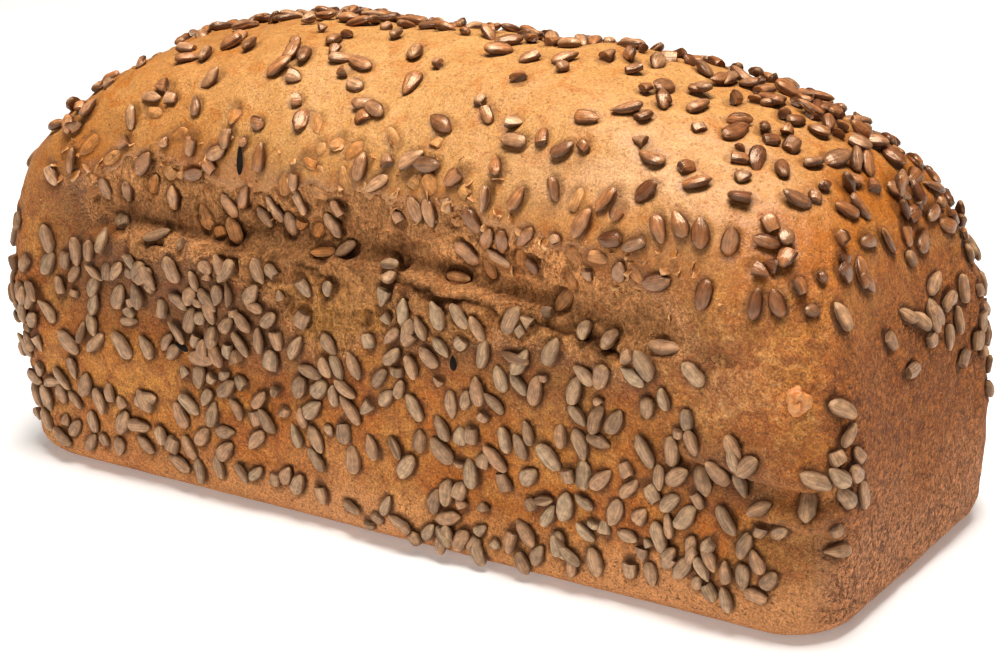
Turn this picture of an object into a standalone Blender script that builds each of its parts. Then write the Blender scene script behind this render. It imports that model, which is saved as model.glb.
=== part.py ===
"""Sunflower seed bread: one uncut tin loaf, with its seeds fused to the crust.

Frame: metres, +Z up, origin at the bottom centre. The loaf's length runs along X, and its front,
where the crust tore open under the dome, faces -Y.

The crust is one surface, crust(turn, rise): turn runs round the loaf from 0 to 4, one unit for each
side, and rise climbs from 0 at the base's edge to 1 at the crown.
"""
import math
import random

import bmesh
import bpy
import numpy as np
from mathutils import Matrix, Vector

# ---- Driving dimensions, in metres ----
LENGTH = 0.2780             # crust to crust, without seeds
WIDTH = 0.100
HEIGHT = 0.1305             # base to crown
WALL_TOP = 0.035            # where the walls start to lean over into the dome
TIN_TAPER_X = 0.003         # how much each end wall leans in at the base
TIN_TAPER_Y = 0.0005
BASE_EDGE = 0.0075          # radius of the rounded edge all round the base
CORNER_LOW = 0.0155         # radius of the upright corners, at the base
CORNER_HIGH = 0.029         # the same, at the crown

# ---- Dome: powers of its superelliptic outline ----
DOME_RISE = 3.78
DOME_ALONG = 2.56
DOME_ACROSS = 2.16

# ---- The tear under the dome, on the front and, shallower, on the back ----
TEAR_Z = 0.0865             # middle height of the tear
TEAR_HEIGHT = 0.022
TEAR_DEPTH = 0.0058
TEAR_BACK_DEPTH = 0.0030
TEAR_START = -0.118         # the ends of the front tear along X
TEAR_END = 0.112
TEAR_FADE = 0.030           # length over which it fades out at each end
SHOULDER_SWELL = 0.0016     # how far the dome swells over the tear

# ---- Other relief ----
END_HOLLOW = 0.0016         # how far the end faces sink between their corners
FOLD_SWELL = 0.0019         # lips of dough at the front's right end
UNEVEN = 0.0008             # slow waves all over

# ---- Facets of the crust ----
CELLS_ALONG = 28
CELLS_ACROSS = 9
RISE_STEPS = (0.0, 0.024, 0.050, 0.115, 0.195, 0.275, 0.345, 0.400, 0.438, 0.468, 0.498, 0.528,
              0.562, 0.605, 0.655, 0.710)

# ---- Seeds ----
SEED_COUNT = 289            # the largest kernels, spread evenly; too low a one is left out
SEED_LENGTH = 0.0088
SEED_WIDTH = 0.0053
SEED_PROUD = 0.0021         # how far a seed stands out of the crust
SEED_ROOT = 0.0036          # how deep its hidden point reaches
SEED_SPREAD = 0.12          # random share of length and width
SEED_TILT = math.radians(48.0)
SEED_TILT_ON_TOP = 1.6      # how much more freely the seeds lie on the dome
SEED_TIP_DOWN = 0.42        # share of seeds whose sharp end points down
SEED_SPACING = 0.0093       # least distance between seeds where they crowd most
LOWEST_SEED = 0.0007        # no seed comes nearer to the table than this
RANDOM_SEED = 21
SEED_TRIES = 16000

# ---- Patches of the front wall: middle and reach along X, middle and reach upwards, share ----
BARE_PATCHES = ((-0.014, 0.026, 0.012, 0.013, 0.97), (-0.010, 0.018, 0.066, 0.011, 0.95),
                (0.114, 0.026, 0.066, 0.014, 0.96), (-0.076, 0.009, 0.036, 0.007, 0.90),
                (0.045, 0.007, 0.024, 0.010, 0.80), (-0.090, 0.010, 0.022, 0.008, 0.60))
CROWDED_PATCHES = ((0.024, 0.014, 0.026, 0.020, 0.55), (0.064, 0.014, 0.024, 0.017, 0.50),
                   (0.105, 0.017, 0.043, 0.007, 0.60), (-0.058, 0.026, 0.056, 0.009, 0.50),
                   (-0.105, 0.018, 0.048, 0.012, 0.50), (-0.040, 0.010, 0.044, 0.006, 0.45),
                   (0.022, 0.010, 0.062, 0.009, 0.50), (0.070, 0.016, 0.062, 0.005, 0.50),
                   (-0.082, 0.018, 0.072, 0.005, 0.50), (0.105, 0.025, 0.016, 0.008, 0.35))

CRUST_COLOUR = (0.50, 0.245, 0.085, 1.0)
CRUST_ROUGHNESS = 0.62


def smooth(value, low, high):
    """Rises smoothly from 0 at low to 1 at high, or falls where low is above high."""
    share = np.clip((value - low) / (high - low), 0.0, 1.0)
    return share * share * (3.0 - 2.0 * share)


def hump(value, middle, half_width):
    """A bell of height 1 at the middle."""
    return np.exp(-(((value - middle) / half_width) ** 2))


def profile_table():
    """Heights and fullness of the loaf's outline against the share of its length, base to crown."""
    bend = np.linspace(0.0, math.pi / 2, 30)
    foot_z = BASE_EDGE * (1.0 - np.cos(bend))
    foot_inset = BASE_EDGE * (1.0 - np.sin(bend))
    wall_z = np.linspace(BASE_EDGE, WALL_TOP, 30)[1:]
    steep = np.linspace(0.0, 0.86, 200)[1:]
    full_at_shoulder = 1.0 - steep[-1] ** DOME_RISE
    flat = np.linspace(full_at_shoulder ** (1.0 / DOME_ACROSS), 0.0, 200)[1:] ** DOME_ACROSS
    dome_full = np.concatenate([1.0 - steep ** DOME_RISE, flat])
    dome_z = WALL_TOP + (HEIGHT - WALL_TOP) * (1.0 - dome_full) ** (1.0 / DOME_RISE)
    z = np.concatenate([foot_z, wall_z, dome_z])
    full = np.concatenate([np.ones(len(foot_z) + len(wall_z)), dome_full])
    inset = np.concatenate([foot_inset, np.zeros(len(wall_z) + len(dome_z))])
    across = WIDTH / 2 * full ** (1.0 / DOME_ACROSS) - inset
    steps = np.hypot(np.diff(across), np.diff(z))
    share = np.concatenate([[0.0], np.cumsum(steps)])
    return share / share[-1], z, full, inset


SHARE, PROFILE_Z, PROFILE_FULL, PROFILE_INSET = profile_table()


def smooth_shell(turn, rise):
    """The loaf without its relief: a rounded rectangle that shrinks into the dome."""
    turn, rise = np.broadcast_arrays(np.asarray(turn, float) % 4.0, np.asarray(rise, float))
    z = np.interp(rise, SHARE, PROFILE_Z)
    full = np.interp(rise, SHARE, PROFILE_FULL)
    inset = np.interp(rise, SHARE, PROFILE_INSET)
    taper = np.clip(1.0 - z / WALL_TOP, 0.0, 1.0)
    half_x = (LENGTH / 2 - TIN_TAPER_X * taper) * full ** (1.0 / DOME_ALONG) - inset
    half_y = (WIDTH / 2 - TIN_TAPER_Y * taper) * full ** (1.0 / DOME_ACROSS) - inset
    lean = np.clip((z - WALL_TOP) / (HEIGHT - WALL_TOP), 0.0, 1.0)
    radius = np.minimum(CORNER_LOW + (CORNER_HIGH - CORNER_LOW) * lean, 0.98 * half_y)
    side = np.floor(turn)
    along = 2.0 * (turn - side) - 1.0
    square_x = np.choose(side.astype(int), [along, 1.0, -along, -1.0])
    square_y = np.choose(side.astype(int), [-1.0, along, 1.0, -along])
    flat_x, flat_y = half_x * square_x, half_y * square_y
    core_x = np.clip(flat_x, radius - half_x, half_x - radius)
    core_y = np.clip(flat_y, radius - half_y, half_y - radius)
    reach = np.hypot(flat_x - core_x, flat_y - core_y) + 1e-9
    x = core_x + (flat_x - core_x) / reach * radius
    y = core_y + (flat_y - core_y) / reach * radius
    return np.stack([x, y, z], axis=-1)


def normals(surface, turn, rise):
    """Outward normals and area of a surface's patches, from small steps both ways."""
    step = 0.002
    low = np.clip(rise - step, 0.0, 1.0)
    high = np.clip(rise + step, 0.0, 0.999)
    around = surface(turn + step, rise) - surface(turn - step, rise)
    upward = surface(turn, high) - surface(turn, low)
    cross = np.cross(around, upward)
    size = np.linalg.norm(cross, axis=-1, keepdims=True) + 1e-15
    return cross / size, size[..., 0]


def tear(x, z, depth, start, end):
    """One side's tear: a slope that sinks from the dome's shoulder to a crevice over a lower lip."""
    middle = TEAR_Z + 0.0035 * np.sin(29.0 * x + 1.9) + 0.0018 * np.sin(71.0 * x)
    top = middle + TEAR_HEIGHT * 0.5
    crevice = middle - TEAR_HEIGHT * (0.24 + 0.06 * np.sin(83.0 * x))
    reach = smooth(x, start, start + TEAR_FADE) * smooth(x, end, end - TEAR_FADE)
    sunk = smooth(z, top + 0.004, crevice) * smooth(z, crevice - 0.0055, crevice - 0.0005)
    shoulder = SHOULDER_SWELL * hump(z, top + 0.008, 0.010)
    lip = SHOULDER_SWELL * 0.7 * hump(z, crevice - 0.009, 0.006)
    return reach * (shoulder + lip - depth * (0.85 + 0.15 * np.sin(47.0 * x)) * sunk)


def folds(x, z):
    """Two lips of dough at the front's right end, each over a short groove."""
    total = 0.0
    for start, height in ((0.096, 0.047), (0.113, 0.034)):
        line = height - 0.09 * (x - start)
        reach = smooth(x, start, start + 0.012)
        total = total + reach * hump(z, line + 0.004, 0.0045)
        total = total - 0.7 * reach * hump(z, line - 0.003, 0.003)
    return FOLD_SWELL * total


def slow_waves(x, y, z):
    """Gentle unevenness with waves of about 40 to 90 mm."""
    total = np.sin(74.0 * x + 31.0 * z + 0.7) * np.cos(58.0 * z + 22.0 * y)
    total = total + 0.8 * np.sin(121.0 * x - 47.0 * y + 2.1) * np.cos(96.0 * y + 35.0 * z + 1.3)
    return total + 0.6 * np.sin(143.0 * z + 39.0 * x)


def relief(place, facing):
    """How far the crust stands out of the smooth shell, in metres."""
    x, y, z = place[..., 0], place[..., 1], place[..., 2]
    front = smooth(-facing[..., 1], 0.15, 0.65)
    back = smooth(facing[..., 1], 0.15, 0.65)
    end = smooth(np.abs(facing[..., 0]), 0.5, 0.95)
    total = front * tear(x, z, TEAR_DEPTH, TEAR_START, TEAR_END)
    total = total + back * tear(-x - 0.02, z, TEAR_BACK_DEPTH, TEAR_START, TEAR_END)
    total = total + front * folds(x, z)
    hollow = np.clip(1.0 - (y / 0.042) ** 2, 0.0, 1.0) * smooth(z, 0.008, 0.03)
    total = total - END_HOLLOW * end * hollow * smooth(z, 0.105, 0.075)
    above_base = smooth(z, 0.0, 0.012)
    return total + UNEVEN * above_base * slow_waves(x, y, z)


def crust(turn, rise):
    """A point of the crust, or an array of them."""
    turn = np.asarray(turn, float)
    rise = np.asarray(rise, float)
    place = smooth_shell(turn, rise)
    facing, _ = normals(smooth_shell, turn, rise)
    return place + facing * relief(place, facing)[..., None]


def ring_turns():
    """Where a ring's points lie round the loaf, corner to corner of all four sides."""
    turns = []
    for side, cells in enumerate((CELLS_ALONG, CELLS_ACROSS, CELLS_ALONG, CELLS_ACROSS)):
        turns.extend(side + step / cells for step in range(cells))
    return np.array(turns)


def square_to_turn(across_x, across_y):
    """The turn and the size of the square ring that a point of the crown's grid lies on."""
    size = max(abs(across_x), abs(across_y))
    if size == 0.0:
        return 0.0, 0.0
    x, y = across_x / size, across_y / size
    if y == -1.0:
        return (x + 1.0) / 2, size
    if x == 1.0:
        return 1.0 + (y + 1.0) / 2, size
    if y == 1.0:
        return 2.0 + (1.0 - x) / 2, size
    return 3.0 + (1.0 - y) / 2, size


def crown_points():
    """Rows of points over the crown, inside the last ring."""
    rows = []
    top_rise = RISE_STEPS[-1]
    for row in range(1, CELLS_ACROSS):
        line = []
        for column in range(1, CELLS_ALONG):
            turn, size = square_to_turn(2.0 * column / CELLS_ALONG - 1.0,
                                        2.0 * row / CELLS_ACROSS - 1.0)
            line.append(Vector(crust(turn, 1.0 - (1.0 - top_rise) * size)))
        rows.append(line)
    return rows


def make_crust(material):
    """The loaf's body: rings up the walls and shoulder, a grid over the crown, a flat base."""
    mesh = bmesh.new()
    turns = ring_turns()
    rings = []
    for rise in RISE_STEPS:
        places = crust(turns, np.full(len(turns), rise))
        rings.append([mesh.verts.new(place) for place in places])
    for low, high in zip(rings, rings[1:]):
        for here in range(len(low)):
            there = (here + 1) % len(low)
            mesh.faces.new((low[here], low[there], high[there], high[here]))
    mesh.faces.new(list(reversed(rings[0])))
    fill_crown(mesh, rings[-1])
    bmesh.ops.triangulate(mesh, faces=mesh.faces, quad_method="SHORT_EDGE", ngon_method="BEAUTY")
    bmesh.ops.recalc_face_normals(mesh, faces=mesh.faces)
    return finished("loaf", mesh, material)


def fill_crown(mesh, edge):
    """Joins the last ring to the crown's grid of points."""
    inner = [[mesh.verts.new(place) for place in line] for line in crown_points()]
    front = edge[:CELLS_ALONG + 1]
    right = edge[CELLS_ALONG:CELLS_ALONG + CELLS_ACROSS + 1]
    back = edge[CELLS_ALONG + CELLS_ACROSS:2 * CELLS_ALONG + CELLS_ACROSS + 1]
    left = edge[2 * CELLS_ALONG + CELLS_ACROSS:] + [edge[0]]
    rows = [front]
    for row, line in enumerate(inner, start=1):
        rows.append([left[CELLS_ACROSS - row]] + line + [right[row]])
    rows.append(list(reversed(back)))
    for low, high in zip(rows, rows[1:]):
        for column in range(CELLS_ALONG):
            mesh.faces.new((low[column], low[column + 1], high[column + 1], high[column]))


def front_density(x, z):
    """Crowding on the front wall: bare and crowded patches, a nearly bare tear, a bare foot."""
    density = np.full(x.shape, 0.80)
    for middle_x, reach_x, middle_z, reach_z, share in CROWDED_PATCHES:
        density = density + share * hump(x, middle_x, reach_x) * hump(z, middle_z, reach_z)
    for middle_x, reach_x, middle_z, reach_z, share in BARE_PATCHES:
        density = density * (1.0 - share * hump(x, middle_x, reach_x) * hump(z, middle_z, reach_z))
    foot = 0.0055 + 0.0045 * smooth(np.abs(x - 0.044), 0.030, 0.042)
    density = density * smooth(z, foot - 0.001, foot + 0.002)
    density = density * (1.0 - 0.75 * smooth(x, 0.121, 0.128))
    density = np.where(z > 0.076, 0.06, density)
    return np.where(z > 0.087, 0.45 * smooth(x, 0.120, 0.095), density)


def end_density(y, z):
    """Crowding on an end face: a cluster under the dome, a column by the corner, else bare."""
    cluster = hump(y, 0.015, 0.019) * hump(z, 0.069, 0.012)
    column = hump(np.abs(y), 0.041, 0.006) * smooth(z, 0.028, 0.034) * smooth(z, 0.070, 0.064)
    return np.where(z > 0.086, 0.40, 0.02 + 0.60 * cluster + 0.38 * column)


def seed_density(place, facing):
    """Share of the seeds' full crowding at a place."""
    x, y, z = place[:, 0], place[:, 1], place[:, 2]
    back = 0.55 + 0.45 * np.sin(95.0 * x + 40.0 * z) * np.cos(110.0 * z - 30.0 * x)
    back = np.where(z > 0.078, 0.30, back)
    dome = 0.30 + 0.50 * smooth(y, -0.004, 0.026) + 0.14 * smooth(x, 0.04, 0.11)
    wall = np.where(facing[:, 1] < 0.0, front_density(x, z), back)
    density = np.where(np.abs(facing[:, 0]) > 0.7, end_density(y, z), wall)
    return np.clip(np.where(facing[:, 2] > 0.35, dome, density), 0.0, 1.0) * (z > 0.0045)


def seed_places():
    """Place, facing, tilt and size of each seed, thrown at random and kept where there is room."""
    draw = random.Random(RANDOM_SEED)
    tries = np.array([[draw.random() for _ in range(6)] for _ in range(SEED_TRIES)])
    turn = tries[:, 0] * 4.0
    rise = 0.02 + 0.975 * tries[:, 1]
    place = crust(turn, rise)
    facing, area = normals(crust, turn, rise)
    density = seed_density(place, facing)
    wanted = np.flatnonzero(tries[:, 2] < area / area.max() * density)
    kept = []
    for index in wanted:
        spacing = SEED_SPACING / math.sqrt(max(density[index], 0.1))
        near = [np.linalg.norm(place[index] - place[other]) < spacing for other in kept]
        if not any(near):
            kept.append(index)
        if len(kept) == SEED_COUNT:
            break
    sizes = 1.0 + SEED_SPREAD * (2.0 * tries[:, 3] - 1.0)
    loose = 1.0 + SEED_TILT_ON_TOP * np.clip(facing[:, 2], 0.0, 1.0)
    tilts = SEED_TILT * (2.0 * tries[:, 4] - 1.0) * loose
    tilts = tilts + math.pi * (tries[:, 5] < SEED_TIP_DOWN)
    return [(place[index], facing[index], tilts[index], sizes[index]) for index in kept]


def seed_frame(spot, facing, tilt):
    """A seed's place: its length up the crust, turned by its tilt, its back to the crust."""
    out = Vector(facing)
    uphill = Vector((0.0, 0.0, 1.0)) - out * out.z
    if uphill.length < 0.3:
        uphill = Vector((1.0, 0.0, 0.0)) - out * out.x
    uphill.normalize()
    across = out.cross(uphill)
    turned = uphill * math.cos(tilt) + across * math.sin(tilt)
    sideways = out.cross(turned)
    basis = Matrix((turned, sideways, out)).transposed()
    return Matrix.Translation(Vector(spot)) @ basis.to_4x4()


def make_seed(index, spot, facing, tilt, size, material):
    """One kernel: a five-sided teardrop with a short ridge outside and one hidden point inside."""
    mesh = bmesh.new()
    half_long = SEED_LENGTH * size / 2
    half_wide = SEED_WIDTH * size / 2
    rim_height = SEED_PROUD * 0.35
    outline = ((-0.92, -0.56), (0.10, -1.0), (1.05, 0.0), (0.10, 1.0), (-0.92, 0.56))
    rim = [mesh.verts.new((half_long * x, half_wide * y, rim_height)) for x, y in outline]
    blunt = mesh.verts.new((-half_long * 0.40, 0.0, SEED_PROUD))
    sharp = mesh.verts.new((half_long * 0.38, 0.0, SEED_PROUD * 0.9))
    root = mesh.verts.new((0.0, 0.0, -SEED_ROOT))
    for here in range(5):
        mesh.faces.new((rim[here], root, rim[(here + 1) % 5]))
    mesh.faces.new((rim[0], rim[1], blunt))
    mesh.faces.new((rim[1], sharp, blunt))
    mesh.faces.new((rim[1], rim[2], sharp))
    mesh.faces.new((rim[2], rim[3], sharp))
    mesh.faces.new((rim[3], blunt, sharp))
    mesh.faces.new((rim[3], rim[4], blunt))
    mesh.faces.new((rim[4], rim[0], blunt))
    bmesh.ops.recalc_face_normals(mesh, faces=mesh.faces)
    mesh.transform(seed_frame(spot, facing, tilt))
    if min(corner.co.z for corner in mesh.verts) < LOWEST_SEED:
        mesh.free()
        return None
    return finished("seed_%03d" % index, mesh, material)


def finished(name, mesh, material):
    """Turns a bmesh into a named object of the scene."""
    data = bpy.data.meshes.new(name)
    mesh.to_mesh(data)
    mesh.free()
    data.materials.append(material)
    thing = bpy.data.objects.new(name, data)
    bpy.context.scene.collection.objects.link(thing)
    return thing


def crust_material():
    """Baked crust, a matte golden brown."""
    material = bpy.data.materials.new("crust")
    material.use_nodes = True
    shader = material.node_tree.nodes["Principled BSDF"]
    shader.inputs["Base Color"].default_value = CRUST_COLOUR
    shader.inputs["Roughness"].default_value = CRUST_ROUGHNESS
    shader.inputs["Metallic"].default_value = 0.0
    return material


def fuse(loaf, seeds):
    """Joins the seeds to the loaf with one union, and removes their own objects."""
    group = bpy.data.collections.new("seeds")
    bpy.context.scene.collection.children.link(group)
    for seed in seeds:
        group.objects.link(seed)
    union = loaf.modifiers.new("fuse seeds", "BOOLEAN")
    union.operation = "UNION"
    union.operand_type = "COLLECTION"
    union.collection = group
    union.solver = "MANIFOLD"
    bpy.context.view_layer.update()
    graph = bpy.context.evaluated_depsgraph_get()
    joined = bpy.data.meshes.new_from_object(loaf.evaluated_get(graph))
    loaf.modifiers.clear()
    loaf.data = joined
    loaf.data.name = "loaf"
    for seed in seeds:
        bpy.data.objects.remove(seed)
    bpy.data.collections.remove(group)


def main():
    for thing in list(bpy.data.objects):
        bpy.data.objects.remove(thing)
    material = crust_material()
    loaf = make_crust(material)
    seeds = []
    for index, (spot, facing, tilt, size) in enumerate(seed_places()):
        seed = make_seed(index, spot, facing, tilt, size, material)
        if seed is not None:
            seeds.append(seed)
    fuse(loaf, seeds)


if __name__ == "__main__":
    main()
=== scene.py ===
"""Looks of a sunflower seed bread: crust, kernels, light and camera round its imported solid."""

import itertools
import math
import random

import bmesh
import bpy
import numpy as np
from bpy.props import (FloatProperty, FloatVectorProperty, IntProperty, PointerProperty)
from bpy.types import Operator, Panel, PropertyGroup
from mathutils import Euler, Matrix, Vector
from mathutils.kdtree import KDTree


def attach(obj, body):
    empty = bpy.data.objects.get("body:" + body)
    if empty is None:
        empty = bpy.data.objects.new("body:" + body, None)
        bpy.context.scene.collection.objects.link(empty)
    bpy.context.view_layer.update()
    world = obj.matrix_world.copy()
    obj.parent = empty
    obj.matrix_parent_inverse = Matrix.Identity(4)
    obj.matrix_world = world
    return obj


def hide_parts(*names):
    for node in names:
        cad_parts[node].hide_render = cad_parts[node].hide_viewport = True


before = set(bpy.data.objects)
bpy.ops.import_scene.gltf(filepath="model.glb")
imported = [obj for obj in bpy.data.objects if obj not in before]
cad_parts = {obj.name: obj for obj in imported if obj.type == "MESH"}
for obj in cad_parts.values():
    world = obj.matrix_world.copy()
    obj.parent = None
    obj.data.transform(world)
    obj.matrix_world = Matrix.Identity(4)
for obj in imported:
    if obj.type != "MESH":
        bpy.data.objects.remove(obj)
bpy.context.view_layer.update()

bl_info = {
    "name": "Sunflower Seed Bread",
    "version": (1, 0, 0),
    "blender": (4, 5, 0),
    "location": "3D Viewport > Sidebar > Bread",
    "description": "Builds a seeded tin loaf with its crust, kernels and studio",
    "category": "Add Mesh",
}

MM = 0.001


# ---------------------------------------------------------------- settings

def metres(name, description, default):
    """A length setting."""
    return FloatProperty(name=name, description=description, default=default, unit="LENGTH")


class LoafSizes(PropertyGroup):
    """Sizes of the loaf's own form, the same as its solid's."""
    length: metres("Length", "Crust to crust, without kernels", 0.278)
    width: metres("Width", "Crust to crust, without kernels", 0.100)
    height: metres("Height", "Base to crown", 0.1305)
    wall_top: metres("Wall top", "Where the walls start to lean over", 0.035)
    base_edge: metres("Base edge", "Radius of the edge round the base", 0.0075)
    corner_low: metres("Corner at the base", "Upright corners' radius", 0.0155)
    corner_high: metres("Corner at the crown", "Upright corners' radius", 0.029)
    tear_depth: metres("Tear depth", "Depth of the front tear", 0.0058)
    tear_back_depth: metres("Back tear depth", "Depth of the back tear", 0.0030)
    facet: metres("Facet", "Edge length of the crust's mesh", 0.00116)


class KernelSizes(PropertyGroup):
    """Sizes and numbers of the sunflower kernels."""
    length: metres("Length", "A large kernel's length", 0.0088)
    width: metres("Width", "A large kernel's width", 0.0053)
    thickness: metres("Thickness", "A large kernel's thickness", 0.0026)
    lift: metres("Lift", "Height of a kernel's middle over the crust", 0.0008)
    large: IntProperty(name="Large kernels",
                       description="Most of the kernels that the solid has too", default=289)
    small: IntProperty(name="Small kernels", description="Most kernels that fill the gaps",
                       default=1150)
    covered: IntProperty(name="Covered kernels", description="Kernels just under the skin",
                         default=70)
    seed: IntProperty(name="Seed", description="Seed of every random draw", default=21)


def colour(name, description, default):
    """A colour setting in linear light."""
    return FloatVectorProperty(name=name, description=description, subtype="COLOR", size=3, min=0.0,
                               max=1.0, default=default)


class BreadColours(PropertyGroup):
    """Colours of the baked surfaces."""
    dome: colour("Dome", "Golden crust over the tin", (0.53, 0.259, 0.078))
    browned: colour("Browned dome", "Strongly baked crust", (0.42, 0.124, 0.012))
    # Pale dust and painted sheen: a paler pinkish colour where a broad highlight falls on the dome.
    bloom: colour("Bloom", "Pale dusty gloss on the dome", (0.69, 0.395, 0.210))
    wall: colour("Wall", "Crust baked against the tin", (0.47, 0.128, 0.008))
    wall_gold: colour("Golden wall", "Golden patches of the wall", (0.58, 0.236, 0.043))
    # Paler tan low on the walls: partly the crust's own colour, partly painted bounce light from
    # the table.
    wall_tan: colour("Paler wall", "Tan low strip of the wall", (0.64, 0.278, 0.098))
    # Grey-brown dough and painted shade under the dome's overhang, in crevices and under the lips.
    dusk: colour("Dusky wall", "Grey-brown wall below the tear", (0.18, 0.080, 0.030))
    wall_deep: colour("Darker wall", "Small deep brown spots", (0.24, 0.060, 0.010))
    fleck: colour("Fleck", "Fine pale threads and grains", (0.84, 0.500, 0.200))
    crumb: colour("Torn crumb", "Rough dough inside the tear", (0.52, 0.228, 0.082))
    crumb_gold: colour("Golden crumb", "Open crumb below the tear", (0.54, 0.245, 0.066))
    # Dark colour of painted shade: in the crumb's holes, crevices and hollows, and round kernels.
    crumb_pit_shade: colour("Dark crumb", "Pits of the torn dough", (0.11, 0.038, 0.010))
    end: colour("End", "Matte porous end faces", (0.385, 0.118, 0.020))
    # Paler low part of the ends: partly own colour, partly painted bounce light from the table.
    end_pale: colour("Pale end", "Low part of the end faces", (0.55, 0.225, 0.090))
    pore: colour("Pores", "Fine holes of the end faces", (0.10, 0.028, 0.008))
    kernel_pale: colour("Pale kernel", "Kernels on the walls", (0.45, 0.300, 0.172))
    # Darker kernels on the walls; also the colour of painted shade on kernels under the overhang
    # and lips.
    kernel_brown: colour("Browned kernel", "Darker kernels on the walls", (0.27, 0.150, 0.076))
    kernel_rosy: colour("Rosy kernel", "Pinkish kernels on the walls", (0.44, 0.228, 0.112))
    # Painted shade on the sides, ends and broken faces of the kernels on the walls.
    kernel_edge: colour("Kernel's edge", "Sides of the kernels on the walls", (0.14, 0.065, 0.028))
    toasted: colour("Toasted kernel", "Kernels on the dome", (0.60, 0.325, 0.165))
    toasted_dark: colour("Dark toasted kernel", "Darkest kernels on the dome", (0.15, 0.048, 0.018))
    toasted_red: colour("Reddish kernel", "Reddish kernels on the dome", (0.42, 0.160, 0.055))
    # Painted shade on the sides, ends and broken faces of the kernels on the dome.
    toasted_edge: colour("Toasted edge", "Sides of the kernels on the dome", (0.065, 0.020, 0.008))
    covered: colour("Covered kernel", "Kernels under the dome's skin", (0.57, 0.270, 0.088))
    covered_low: colour("Sunk kernel", "Kernels in the torn dough", (0.42, 0.185, 0.070))
    husk: colour("Husk", "Black slivers of shell", (0.012, 0.008, 0.006))
    flake: colour("Skin flake", "Peeled crust over the tear", (0.42, 0.150, 0.032))
    flake_edge: colour("Flake edge", "Pale torn edges of the crust", (0.74, 0.420, 0.180))
    blister: colour("Blister", "Curled orange blister", (0.50, 0.165, 0.034))


class StudioSettings(PropertyGroup):
    """Where the camera stands and how bright the lights are."""
    azimuth: FloatProperty(name="Azimuth", description="Camera's turn from the front",
                           default=math.radians(35.875), subtype="ANGLE")
    elevation: FloatProperty(name="Elevation", description="Camera's height as an angle",
                             default=math.radians(21.8), subtype="ANGLE")
    roll: FloatProperty(name="Roll", description="Camera's lean to one side",
                        default=math.radians(-3.694), subtype="ANGLE")
    distance: metres("Distance", "Camera to target", 0.7655)
    target: FloatVectorProperty(name="Target", description="The point that the camera faces",
                                size=3, default=(0.0078, 0.0, 0.04748), subtype="TRANSLATION")
    lens: FloatProperty(name="Lens", description="Focal length in millimetres", default=98.4)
    key: FloatProperty(name="Key light", description="Power of the light overhead", default=18.4,
                       subtype="POWER")
    fill: FloatProperty(name="Fill light", description="Power of the light in front", default=5.0,
                        subtype="POWER")
    around: FloatProperty(name="Light all round", description="Strength of the even light",
                          default=0.07)
    table_glow: FloatProperty(name="Table glow", description="Light that the white table gives",
                              default=0.20)


# ---------------------------------------------------------------- form of the loaf

TIN_TAPER_X = 0.003
TIN_TAPER_Y = 0.0005
DOME_RISE = 3.78
DOME_ALONG = 2.56
DOME_ACROSS = 2.16
TEAR_Z = 0.0865
TEAR_HEIGHT = 0.022
TEAR_START = -0.118
TEAR_END = 0.112
TEAR_FADE = 0.030
SHOULDER_SWELL = 0.0016
END_HOLLOW = 0.0016
FOLD_SWELL = 0.0019
UNEVEN = 0.0008


def smooth(value, low, high):
    """Rises smoothly from 0 at low to 1 at high, or falls where low is above high."""
    share = np.clip((value - low) / (high - low), 0.0, 1.0)
    return share * share * (3.0 - 2.0 * share)


def hump(value, middle, half_width):
    """A bell of height 1 at the middle."""
    return np.exp(-(((value - middle) / half_width) ** 2))


def patch(x, z, middle_x, middle_z, half_x, half_z):
    """A soft oval patch on a wall, 1 in its middle."""
    return hump(x, middle_x, half_x) * hump(z, middle_z, half_z)


def patches(x, z, rows):
    """The strongest of several patches. Rows are a patch's numbers and its share."""
    return np.maximum.reduce([share * patch(x, z, *row) for *row, share in rows])


def bumps(place, cell, salt):
    """Smooth random values from -1 to 1 over space, with bumps about one cell wide."""
    spot = np.asarray(place) / cell + 1000.0
    corner = np.floor(spot).astype(np.int64)
    part = spot - corner
    part = part * part * (3.0 - 2.0 * part)
    total = np.zeros(spot.shape[:-1])
    for step in itertools.product((0, 1), repeat=3):
        node = corner + np.array(step)
        mixed = (node[..., 0] * 73856093) ^ (node[..., 1] * 19349663) ^ (node[..., 2] * 83492791)
        mixed = (mixed + salt * 2654435761) & 0xFFFFFFFF
        mixed = ((mixed ^ (mixed >> 15)) * 2246822519) & 0xFFFFFFFF
        mixed = ((mixed ^ (mixed >> 13)) * 3266489917) & 0xFFFFFFFF
        mixed = mixed ^ (mixed >> 16)
        weight = np.prod(np.where(np.array(step) == 1, part, 1.0 - part), axis=-1)
        total = total + weight * (mixed / 2147483647.5 - 1.0)
    return total


def fine_relief(place, octaves, salt):
    """A sum of bumps. Octaves are (height, size) in metres."""
    return sum(height * bumps(place, size, salt + step)
               for step, (height, size) in enumerate(octaves))


# How far the border of the torn crumb wanders: heights and sizes.
TORN_WOBBLE = ((0.0060, 0.019), (0.0040, 0.0075), (0.0026, 0.0030))
BACK_TEAR_SHIFT = -0.02


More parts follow.
